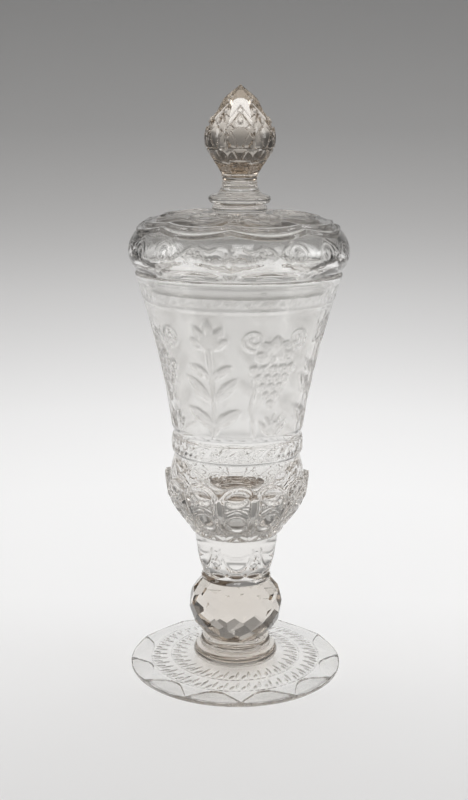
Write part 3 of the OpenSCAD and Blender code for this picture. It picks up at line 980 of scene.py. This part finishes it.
def plant_frieze(s, t, size):
    """Tall flowers with broad leaves, and between them vines with a bunch of grapes."""
    period = math.tau * CUP_MEAN_R / size.plants
    s = wrap(s + CUP_MEAN_R * math.radians(20), period)
    stem = [(0.0, 1.0), (0.8, 20.0), (0.0, 41.0)]
    cut = 0.8 * groove(line_distance(s, t, stem, period), 2.4)
    for root_t, lean, long, wide in FLOWER_LEAVES:
        for direction in (lean, 180 - lean):
            blade = leaf(s, t, (0.4, root_t), math.radians(direction), long, wide, period)
            cut = np.maximum(cut, blade)
    vine_s = period / 2
    stalk = [(vine_s - 7.0, 1.0), (vine_s - 10.0, 14.0), (vine_s - 7.0, 28.0), (vine_s, 38.0)]
    cut = np.maximum(cut, 0.8 * groove(line_distance(s, t, stalk, period), 2.2))
    for side in (-1, 1):
        curl = spiral((vine_s + side * 9.5, 46.0), 4.6, 1.2, math.radians(-90), side * 1.4)
        cut = np.maximum(cut, 0.7 * groove(line_distance(s, t, curl, period), 1.8))
    for lean in (90, 42, 138, -4, 184):
        lobe = leaf(s, t, (vine_s, 39.0), math.radians(lean), 9.5, 6.4, period)
        cut = np.maximum(cut, lobe)
    for row in range(GRAPE_ROWS):
        for number in range(GRAPE_ROWS - row):
            berry_s = vine_s + 4.4 * (number - (GRAPE_ROWS - 1 - row) / 2)
            out = np.hypot(wrap(s - berry_s, period), t - (32.5 - 4.0 * row))
            cut = np.maximum(cut, 0.9 * np.clip(1 - (out / 2.5) ** 2, 0, 1))
    for lean in (90, 66, 114, 42, 138):
        blade = leaf(s, t, (vine_s + 3.0, 1.0), math.radians(lean), 12.0, 3.0, period)
        cut = np.maximum(cut, blade)
    return cut


def border_leaves(s, t):
    """Border under the lip: a row of leaning leaves and dots."""
    leaves = 34
    period = math.tau * CUP_MEAN_R / leaves
    border = 0.8 * leaf(s, t, (-2.2, 2.0), math.radians(52), BORDER_H * 0.72, 2.6, period)
    dot = np.hypot(wrap(s - 2.6, period), t - BORDER_H * 0.36)
    return np.maximum(border, np.clip(1 - dot ** 2, 0, 1))


# The lid

LID_SEGMENTS = 560
LID_TOP_BEND = (0, 0.545, 0.32, 0.94)
# Air between the lid's seat and the rim, rounding of the flange, slope inside the flange and
# depth of the engraved lines
SEAT_AIR = 0.1
FLANGE_ROUND = 0.6
SLOPE_W = 4.6
LID_LINE_DEPTH = 0.22
# Rosette: inset of its second ridge, and place and size of the dish in each lobe
SECOND_RIDGE = 3.7
DISH_R = 26.5
DISH_LONG = 20.0
DISH_WIDE = 17.0


def lid_glass(size, finial, looks):
    """Low blown dome with a raised rosette, engraved scrolls and a flange."""
    z_seat = BOWL.high + SEAT_AIR
    z_top = DISC.low - SEAM
    seat_r = sizes(bpy.context, "goblet_bowl").rim_d / 2 - size.seat_inset
    joint_r = finial.disc_joint_d / 2
    edge = (LID.r, z_seat + size.edge_h)
    crown = (size.crown_d / 2, z_top - size.crown_fall)
    flange_r = size.flange_d / 2
    inner_r = flange_r - size.flange_wall
    outline = [(0, z_top), (joint_r, z_top)]
    outline += evenly([(joint_r, z_top), crown], 0.42)
    outline += curve(edge, crown, LID_TOP_BEND, 0.42)[::-1]
    outline += curve((seat_r, z_seat), edge, (0.41, 0.27, 1, 0.5), 0.5)[::-1]
    round_z = LID.low + FLANGE_ROUND
    outline += evenly([(seat_r, z_seat), (flange_r, z_seat), (flange_r, round_z)], 3)
    outline += arc((flange_r - FLANGE_ROUND, round_z), FLANGE_ROUND, 0, -90, 3)
    outline += arc((inner_r + FLANGE_ROUND, round_z), FLANGE_ROUND, -90, -180, 3)
    inside = (LID.r - size.wall, edge[1])
    under_crown = (crown[0], crown[1] - size.wall)
    slope = (inner_r + SLOPE_W, z_seat + SLOPE_W)
    outline += evenly([(inner_r, z_seat), slope], 1.2)
    outline += curve(slope, inside, (0.46, 0.33, 1, 0.55), 1.2)
    outline += curve(inside, under_crown, LID_TOP_BEND, 2)
    outline += [(0, z_top - size.wall)]
    piece = turn_outline("lid_glass", outline, LID_SEGMENTS)
    skin = surface(piece)
    outer = (skin.z > edge[1] - 6) & (skin.r > joint_r + 0.3)
    outer &= (skin.up > 0.02) | ((skin.out > 0.3) & (skin.r > inside[0] + 1))
    rosette = rosette_relief(skin, size)
    rosette = rosette * smooth(skin.r, joint_r + 0.3, joint_r + 2.5)
    lines, ground = lid_cuts(skin, edge[1], size)
    lines = lines * smooth(-rosette, -0.2, -0.05)
    heights = np.where(outer, rosette - LID_LINE_DEPTH * lines, 0)
    carve(piece, heights)
    paint_matt(piece, np.where(outer, np.maximum(lines, ground), 0))
    glass = engraved_glass("lid_glass_wheel_engraved", looks)
    finish_piece(piece, "lid", glass, [(z_top, joint_r)], corner=65)


def rosette_relief(skin, size):
    """Raised rosette: two scalloped ridges one inside the other, and a dish in each lobe."""
    around = fold(skin.angle, size.lobes, size.rosette_turn + math.pi / size.lobes)
    outer = lobe_depth(skin.r, around, size.rosette_d / 2, size.lobe_d / 2)
    inner_reach = size.rosette_d / 2 - SECOND_RIDGE
    inner = lobe_depth(skin.r, around, inner_reach, size.lobe_d / 2)
    high = size.rosette_h
    relief = high * smooth(outer, -0.4, 0.5) - 0.7 * high * smooth(outer, 0.9, 1.9)
    relief += 0.9 * high * smooth(inner, -0.4, 0.4) - 0.6 * high * smooth(inner, 0.9, 2.0)
    dish = oval(skin.r * np.cos(around) - DISH_R, skin.r * np.sin(around),
                DISH_LONG, DISH_WIDE)
    relief += 0.5 * high * smooth(dish, -1.4, -0.5) - 1.1 * high * smooth(dish, 0.0, 1.2)
    ring = 0.5 * high * np.clip(1 - ((dish - 3.2) / 0.9) ** 2, 0, 1)
    return relief + ring


def lobe_depth(r, around, reach, lobe_r):
    """How deep a point lies inside a rosette's scalloped outline, in plan."""
    centre = reach - lobe_r
    return lobe_r - np.hypot(r * np.cos(around) - centre, r * np.sin(around))


def lid_cuts(skin, edge_z, size):
    """Engraved lines and matt ground on the lid's side, mirrored four times round."""
    repeats = 4
    ground_matt = 0.08
    far = 2 * math.tau / repeats * LID.r
    s = np.abs(fold(skin.angle, repeats, size.rosette_turn)) * LID.r
    t = skin.z - edge_z
    scrolls = [spiral((14.0, 3.0), 3.4, 0.7, math.radians(200), -1.5),
               spiral((31.0, 2.6), 5.6, 0.9, math.radians(230), -1.8),
               [(14.0, 6.4), (18.0, 5.4), (22.0, 2.2), (26.5, -1.0)],
               [(17.0, -1.2), (20.5, 1.4), (24.5, 5.6), (29.0, 8.1)],
               [(6.0, 5.6), (8.5, 4.6), (11.0, 5.2)]]
    lines = np.zeros(s.shape)
    for points in scrolls:
        lines = np.maximum(lines, groove(line_distance(s, t, points, far), 1.1))
    for number in range(5):
        lean = math.radians(90 - 20 * number)
        petal = leaf(s, t, (0.0, -1.0), lean, 6.8 - 0.5 * number, 1.9, far)
        lines = np.maximum(lines, petal)
    for number in range(3):
        stroke = [(7.0 + 1.7 * number, -2.0), (8.2 + 1.7 * number, 1.0)]
        lines = np.maximum(lines, groove(line_distance(s, t, stroke, far), 1.0))
    lines = np.maximum(lines, 0.7 * groove(t + 4.0, 0.8))
    clear = smooth(skin.z, edge_z + 9.5, edge_z + 12.5)
    ground = ground_matt * smooth(t, -5.0, -4.4) * (1 - clear)
    return lines * (1 - clear), ground


# The finial

# Share of the collar's height at which it is widest
COLLAR_WIDEST = 0.38


def finial_rings(size, looks):
    """Small disc on the lid and the collar that flares up into the neck."""
    low_r = size.disc_joint_d / 2
    high_r = size.disc_top_d / 2
    side = swell((low_r, DISC.low), (high_r, DISC.high), DISC.r, RING_PITCH)
    outline = [(0, DISC.low)] + side + [(0, DISC.high)]
    turned_ring("finial_disc_glass", "lid", outline, looks,
                [(DISC.low, low_r), (DISC.high, high_r)])
    collar_h = FINIAL_COLLAR.high - FINIAL_COLLAR.low
    widest = (FINIAL_COLLAR.r, FINIAL_COLLAR.low + COLLAR_WIDEST * collar_h)
    neck_r = size.neck_joint_d / 2
    outline = [(0, FINIAL_COLLAR.low)]
    outline += curve((high_r, FINIAL_COLLAR.low), widest, (0.7, 0.1, 1, 0.5), RING_PITCH)
    outline += curve(widest, (neck_r, FINIAL_COLLAR.high), (0, 0.65, 0.9, 0.5), RING_PITCH)
    outline += [(0, FINIAL_COLLAR.high)]
    turned_ring("finial_collar_glass", "lid", outline, looks,
                [(FINIAL_COLLAR.low, high_r), (FINIAL_COLLAR.high, neck_r)])


BUD_SEGMENTS = 288
# Share of the bud's radius by which the upper facets draw in up to its tip
DRAW_IN = 0.74
# Ledge under the bud's leaves: depth, and drop below the widest place
LEDGE_DEPTH = 0.5
LEDGE_DROP = 4.4
# Turned grooves of the neck: places as shares of its height, and depth
NECK_GROOVES = (0.25, 0.45, 0.65)
NECK_GROOVE_DEPTH = 0.3


def finial_bud(size, looks):
    """Facet-cut bud: rows of pointed leaves over long facets, on a short round neck."""
    neck_r = size.neck_d / 2
    z_bud = BUD.low + size.neck_h
    wide = (BUD.r, z_bud + size.bud_mid)
    tip_h = BUD.high - wide[1]
    joint_r = size.neck_joint_d / 2
    outline = [(0, BUD.low)]
    outline += curve((joint_r, BUD.low), (neck_r, z_bud - size.step), (0.7, 0.2, 1, 0.5), 0.2)
    outline += evenly([(neck_r, z_bud - size.step), (neck_r + size.step, z_bud)], 0.3)
    outline += curve((neck_r + size.step, z_bud), wide, (0.28, 0.37, 0.95, 0.43), 0.32)
    outline += curve(wide, (0, BUD.high - 0.001), (0, 0.28, 0.37, 0.74), 0.32)
    piece = turn_outline("finial_bud_glass", outline, BUD_SEGMENTS)
    skin = surface(piece)
    lean = math.atan(BUD.r * DRAW_IN / tip_h)
    upper = facet_depth(skin, wide[1], lean, BUD.r - size.grind, size.facets)
    lower = facet_depth(skin, wide[1], -size.low_slope, BUD.r - size.low_grind, size.facets)
    lower *= smooth(skin.z, z_bud - 0.1, z_bud + 0.4)
    cap_z = BUD.high - size.cap_h
    cap_r = (BUD.r - size.grind - (cap_z - wide[1]) * math.sin(lean)) / math.cos(lean)
    cap_rise = math.atan2(cap_r, size.cap_h)
    cap = facet_depth(skin, cap_z, cap_rise, cap_r * math.cos(cap_rise), size.facets)
    ground = np.maximum(bud_leaves(skin, upper, wide[1], size), cap)
    ledge = LEDGE_DEPTH * groove(skin.z - wide[1] + LEDGE_DROP, 1.2)
    ground = np.maximum(ground * smooth(skin.z, wide[1] - 5.0, wide[1] - 3.8), lower) + ledge
    turned = np.zeros(skin.r.shape)
    for up in NECK_GROOVES:
        turned = np.maximum(turned, groove(skin.z - BUD.low - up * size.neck_h, 0.8))
    carve(piece, -np.where(skin.z > z_bud - 0.05, ground, NECK_GROOVE_DEPTH * turned))
    glass = polished_glass("thick_glass_bud_cut", looks)
    finish_piece(piece, "lid", glass, [(BUD.low, joint_r)], corner=24)


def facet_depth(skin, z, rise, distance, facets):
    """How far the round stands over a row of flat facets, along its own normal."""
    depth = np.zeros(skin.r.shape)
    for number in range(facets):
        facing = np.array(facet_normal(math.tau * number / facets - math.pi / 2, rise))
        over = facing @ skin.place - facing[2] * z - distance
        slant = facing @ skin.normal
        depth = np.maximum(depth, np.where(slant > 0.3, over / np.maximum(slant, 0.3), 0))
    return depth


def bud_leaves(skin, facets, wide_z, size):
    """Depth of the bud's pointed leaves, which rise out of the facets, and broad scales."""
    leaf_tip = 11.9
    scale_tip = 5.2
    half = math.pi / size.facets
    across = np.abs(fold(skin.angle, size.facets)) / half
    width = half * np.maximum(skin.r, 1)
    up = skin.z - wide_z
    point = np.clip((leaf_tip - up) / 8.5, 0, 1) ** 0.75
    arch = np.sqrt(np.clip((scale_tip - up) / scale_tip, 0, 1)) * 0.97
    in_leaf = (point - across) * width
    in_scale = (arch - across) * width
    button = oval(across * width, up - 8.2, 2.6, 3.4)
    depth = facets * (1 - 0.35 * smooth(in_leaf, 0.0, 0.5)) * (1 - smooth(in_scale, 0.0, 0.5))
    depth = depth * (1 - 0.8 * smooth(button, -0.2, 0.4))
    vein = np.abs(across * width - 0.45 * (up + 5.6))
    lines = groove(vein, 0.9) * smooth(in_scale, 0.5, 1.0) * smooth(up, -5.0, -4.0)
    lines = np.maximum(lines, groove(in_leaf, 1.0) * smooth(up, 3.0, 4.0) * (up < leaf_tip))
    lines = np.maximum(lines, groove(in_scale, 1.0) * (up < scale_tip))
    return depth + size.line_depth * lines


# The studio

# Lamps: name, place, target, width and height, all in millimetres, and watts
LAMPS = (
    ("overhead_softbox", (70, 420, 1250), (20, 200, 0), (900, 900), 11.0),
    ("back_card", (0, 1000, 470), (0, 0, 0), (900, 170), 0.15),
    ("front_softbox", (60, -680, 1150), (0, 0, 230), (350, 250), 1.2),
    ("left_softbox", (-900, -150, 600), (0, 0, 130), (200, 700), 1.5),
    ("right_softbox", (900, -100, 600), (0, 0, 130), (200, 700), 1.5),
)
DAYLIGHT = "#f8fbff"
ROOM_LIGHT = "#fff7ee"
# Grey of the paper at distances in metres along it from the goblet: its own pale white near the
# goblet, then painted shade that greys it up the sweep, where the light falls off
PAPER_TONES_PAINTED_FALLOFF = ((0.0, "#f3f3f3"), (0.3, "#f6f6f6"), (0.53, "#f1f1f1"), (0.81, "#e3e3e3"),
               (1.02, "#d8d8d8"), (1.21, "#cacaca"), (1.39, "#bcbcbc"), (1.61, "#aaaaaa"),
               (1.9, "#9d9d9d"), (2.2, "#959595"))
# Painted shade that darkens the paper round the goblet, to the sides and at the front: metres from
# and to, and the share of its tone at both
SHADE_FRONT = {"From Min": -0.13, "From Max": 0.08, "To Min": 0.86, "To Max": 1.0}
SHADE_ASIDE = {"From Min": 0.42, "From Max": 0.9, "To Min": 1.0, "To Max": 0.3}
SHADE_NEAR = {"From Min": -0.7, "From Max": -0.16, "To Min": 0.55, "To Max": 1.0}
# Size of the paper's fibres in millimetres, coarser than real ones, so that they show
PAPER_FIBRE = 0.9
# Light of the room: direction of its palest place, how near to it from and to, and the
# strength at both
PALEST = (0.0, -0.35, 0.94)
CEILING = {"From Min": 0.2, "From Max": 0.75, "To Min": 0.1, "To Max": 0.4}


def studio(size):
    """Round cove of background paper, soft lamps, the room and the camera."""
    floor_r = 450
    wall_r = 1500
    wall_h = 620
    # The paper lies a hair under the foot, so that no two faces lie in one plane
    low = -0.05
    outline = [(0, low), (120, low), (280, low)]
    outline += curve((floor_r, low), (wall_r, wall_h), (0.6, 0, 1, 0.2), 60)
    cove = turn_outline("studio_cove", outline, 128, closed=False)
    bpy.ops.mesh.select_all(action="SELECT")
    bpy.ops.mesh.normals_make_consistent(inside=True)
    bpy.ops.object.mode_set(mode="OBJECT")
    bpy.ops.object.shade_smooth()
    cove.data.materials.clear()
    cove.data.materials.append(background_paper())
    lamps = [add_lamp(*values) for values in LAMPS]
    # The overhead lamp lights the paper; the glass shows the paper, not the lamp
    lamps[0].data.color = linear(DAYLIGHT)
    lamps[0].visible_glossy = False
    lamps[0].visible_transmission = False
    set_world()
    add_camera(size)


def background_paper():
    """Matt background paper: its own pale white round the goblet and behind it, with painted shade
    that greys it up the sweep, to the sides and in front, so that the edges of the glass show
    darker."""
    material, tree = new_material("background_paper_matt_painted_shade")
    place = add_node(tree, "ShaderNodeTexCoord").outputs["Object"]
    split = add_node(tree, "ShaderNodeSeparateXYZ", {0: place})
    flat = add_node(tree, "ShaderNodeCombineXYZ", {0: split.outputs[0], 1: split.outputs[1]})
    out = add_node(tree, "ShaderNodeVectorMath", {0: flat.outputs[0]}, operation="LENGTH")
    along = add_node(tree, "ShaderNodeMath", {0: out.outputs["Value"], 1: split.outputs[2]},
                     operation="ADD")
    furthest = PAPER_TONES_PAINTED_FALLOFF[-1][0]
    reach = add_node(tree, "ShaderNodeMath", {0: along.outputs[0], 1: furthest},
                     operation="DIVIDE")
    # Painted shade: the paper's grey deepens with distance along it, for the light falling off up
    # the sweep
    tone = add_node(tree, "ShaderNodeValToRGB", {0: reach.outputs[0]})
    stops = tone.color_ramp.elements
    while len(stops) < len(PAPER_TONES_PAINTED_FALLOFF):
        stops.new(0.5)
    for stop, (metres, grey) in zip(stops, PAPER_TONES_PAINTED_FALLOFF):
        stop.position = metres / furthest
        stop.color = (*linear(grey), 1.0)
    # Painted shade: darker in front of the goblet, to the sides and far in front; it scales the
    # paper's grey
    front = add_node(tree, "ShaderNodeMapRange", {"Value": split.outputs[1], **SHADE_FRONT})
    aside = add_node(tree, "ShaderNodeMath", {0: split.outputs[0]}, operation="ABSOLUTE")
    wide = add_node(tree, "ShaderNodeMapRange", {"Value": aside.outputs[0], **SHADE_ASIDE})
    near = add_node(tree, "ShaderNodeMapRange", {"Value": split.outputs[1], **SHADE_NEAR})
    sweep = add_node(tree, "ShaderNodeMath", {0: wide.outputs[0], 1: near.outputs[0]},
                     operation="MINIMUM")
    lit = add_node(tree, "ShaderNodeMath", {0: sweep.outputs[0], 1: front.outputs[0]},
                   operation="MULTIPLY")
    shaded = add_node(tree, "ShaderNodeVectorMath", {
        0: tone.outputs[0], "Scale": lit.outputs[0]}, operation="SCALE")
    fibre = add_node(tree, "ShaderNodeTexNoise", {"Vector": place, "Scale": 1 / (PAPER_FIBRE * MM)})
    bump = add_node(tree, "ShaderNodeBump", {
        "Height": fibre.outputs["Fac"], "Strength": 0.1, "Distance": 0.05 * MM})
    shader = add_node(tree, "ShaderNodeBsdfPrincipled", {
        "Base Color": shaded.outputs[0], "Roughness": 0.9, "Normal": bump.outputs[0]})
    add_node(tree, "ShaderNodeOutputMaterial", {"Surface": shader.outputs[0]})
    return material


def add_lamp(name, place, target, panel, watts):
    """Soft rectangular lamp that faces a point; the camera doesn't see it."""
    bpy.ops.object.select_all(action="DESELECT")
    place = np.array(place) * MM
    aim = np.array(target) * MM - place
    flat = math.hypot(aim[0], aim[1])
    tilt = math.atan2(flat, -aim[2])
    bpy.ops.object.light_add(type="AREA", location=place,
                             rotation=(tilt, 0, math.atan2(-aim[0], aim[1])))
    lamp = bpy.context.object
    lamp.name = name
    lamp.data.shape = "RECTANGLE"
    lamp.data.size = panel[0] * MM
    lamp.data.size_y = panel[1] * MM
    lamp.data.energy = watts
    lamp.visible_camera = False
    return lamp


def set_world():
    """Dim warm room that is paler overhead, so that the glass has both to show."""
    world = bpy.data.worlds.new("studio_room")
    world.use_nodes = True
    tree = world.node_tree
    tree.nodes.clear()
    place = add_node(tree, "ShaderNodeTexCoord").outputs["Generated"]
    high = add_node(tree, "ShaderNodeVectorMath", {0: place, 1: PALEST},
                    operation="DOT_PRODUCT")
    ceiling = add_node(tree, "ShaderNodeMapRange", {"Value": high.outputs["Value"], **CEILING})
    room = add_node(tree, "ShaderNodeBackground", {
        "Color": (*linear(ROOM_LIGHT), 1.0), "Strength": ceiling.outputs[0]})
    add_node(tree, "ShaderNodeOutputWorld", {"Surface": room.outputs[0]})
    bpy.context.scene.world = world


def add_camera(size):
    """Camera at the photograph's viewing angle, for a picture of 468 by 800 pixels."""
    picture_h = 800
    sensor = 36.0
    bpy.ops.object.select_all(action="DESELECT")
    place = (-size.camera_left * MM, -size.camera_away * MM, size.camera_high * MM)
    bpy.ops.object.camera_add(location=place,
                              rotation=(math.pi / 2 - size.camera_down, 0, 0))
    camera = bpy.context.object
    camera.name = "studio_camera"
    camera.rotation_euler.rotate_axis("Z", size.camera_roll)
    camera.data.sensor_width = sensor
    camera.data.lens = sensor * size.focal_px / picture_h
    camera.data.clip_start = 0.01
    scene = bpy.context.scene
    scene.camera = camera
    scene.view_settings.view_transform = "Standard"
    scene.cycles.max_bounces = 32
    scene.cycles.transmission_bounces = 32
    scene.cycles.glossy_bounces = 12
    scene.cycles.transparent_max_bounces = 48


# Operators, one for each piece or group of like pieces

class GOBLET_OT_add_studio(bpy.types.Operator):
    """Adds the background paper, the lamps and the camera"""
    bl_idname = "goblet.add_studio"
    bl_label = "Studio"

    def execute(self, context):
        studio(sizes(context, "goblet_stage"))
        return {"FINISHED"}


class GOBLET_OT_add_foot(bpy.types.Operator):
    """Adds the foot with its ground panels and engraved leaf rows"""
    bl_idname = "goblet.add_foot"
    bl_label = "Foot"

    def execute(self, context):
        foot_glass(sizes(context, "goblet_foot"), sizes(context, "goblet_glass"))
        return {"FINISHED"}


class GOBLET_OT_add_stem_rings(bpy.types.Operator):
    """Adds the turned rings of the stem"""
    bl_idname = "goblet.add_stem_rings"
    bl_label = "Stem rings"

    def execute(self, context):
        stem_rings(sizes(context, "goblet_stem"), sizes(context, "goblet_glass"))
        return {"FINISHED"}


class GOBLET_OT_add_knop(bpy.types.Operator):
    """Adds the facet-cut knop"""
    bl_idname = "goblet.add_knop"
    bl_label = "Knop"

    def execute(self, context):
        knop_glass(sizes(context, "goblet_stem"), sizes(context, "goblet_glass"))
        return {"FINISHED"}


class GOBLET_OT_add_bowl(bpy.types.Operator):
    """Adds the bowl with its calyx, carved band and matt frieze"""
    bl_idname = "goblet.add_bowl"
    bl_label = "Bowl"

    def execute(self, context):
        size = sizes(context, "goblet_bowl")
        size.bowl_joint_d = sizes(context, "goblet_stem").bowl_joint_d
        bowl_glass(size, sizes(context, "goblet_glass"))
        return {"FINISHED"}


class GOBLET_OT_add_lid(bpy.types.Operator):
    """Adds the lid with its rosette, scrolls and flange"""
    bl_idname = "goblet.add_lid"
    bl_label = "Lid"

    def execute(self, context):
        lid_glass(sizes(context, "goblet_lid"), sizes(context, "goblet_finial"),
                  sizes(context, "goblet_glass"))
        return {"FINISHED"}


class GOBLET_OT_add_finial(bpy.types.Operator):
    """Adds the disc, the collar and the bud of the finial"""
    bl_idname = "goblet.add_finial"
    bl_label = "Finial"

    def execute(self, context):
        size = sizes(context, "goblet_finial")
        looks = sizes(context, "goblet_glass")
        finial_rings(size, looks)
        finial_bud(size, looks)
        return {"FINISHED"}


class VIEW3D_PT_goblet(bpy.types.Panel):
    """Lists the goblet's pieces and the studio"""
    bl_label = "Covered goblet"
    bl_space_type = "VIEW_3D"
    bl_region_type = "UI"
    bl_category = "Goblet"

    def draw(self, context):
        for operator in OPERATORS:
            self.layout.operator(operator.bl_idname)
        for name, group in GROUPS.items():
            box = self.layout.box()
            box.label(text=group.__name__)
            for key in group.__annotations__:
                box.prop(getattr(context.scene, name), key)


OPERATORS = (GOBLET_OT_add_studio, GOBLET_OT_add_foot, GOBLET_OT_add_stem_rings,
             GOBLET_OT_add_knop, GOBLET_OT_add_bowl, GOBLET_OT_add_lid, GOBLET_OT_add_finial)


def register():
    """Registers the classes and puts the property groups on the scene."""
    for kind in (*GROUPS.values(), *OPERATORS, VIEW3D_PT_goblet):
        bpy.utils.register_class(kind)
    for name, group in GROUPS.items():
        setattr(bpy.types.Scene, name, bpy.props.PointerProperty(type=group))


def unregister():
    """Takes the property groups off the scene and unregisters the classes."""
    for name in GROUPS:
        delattr(bpy.types.Scene, name)
    for kind in reversed((*GROUPS.values(), *OPERATORS, VIEW3D_PT_goblet)):
        bpy.utils.unregister_class(kind)


def main():
    """Builds the studio and every piece in order."""
    register()
    bpy.ops.goblet.add_studio()
    bpy.ops.goblet.add_foot()
    bpy.ops.goblet.add_stem_rings()
    bpy.ops.goblet.add_knop()
    bpy.ops.goblet.add_bowl()
    bpy.ops.goblet.add_lid()
    bpy.ops.goblet.add_finial()


if __name__ == "__main__":
    main()
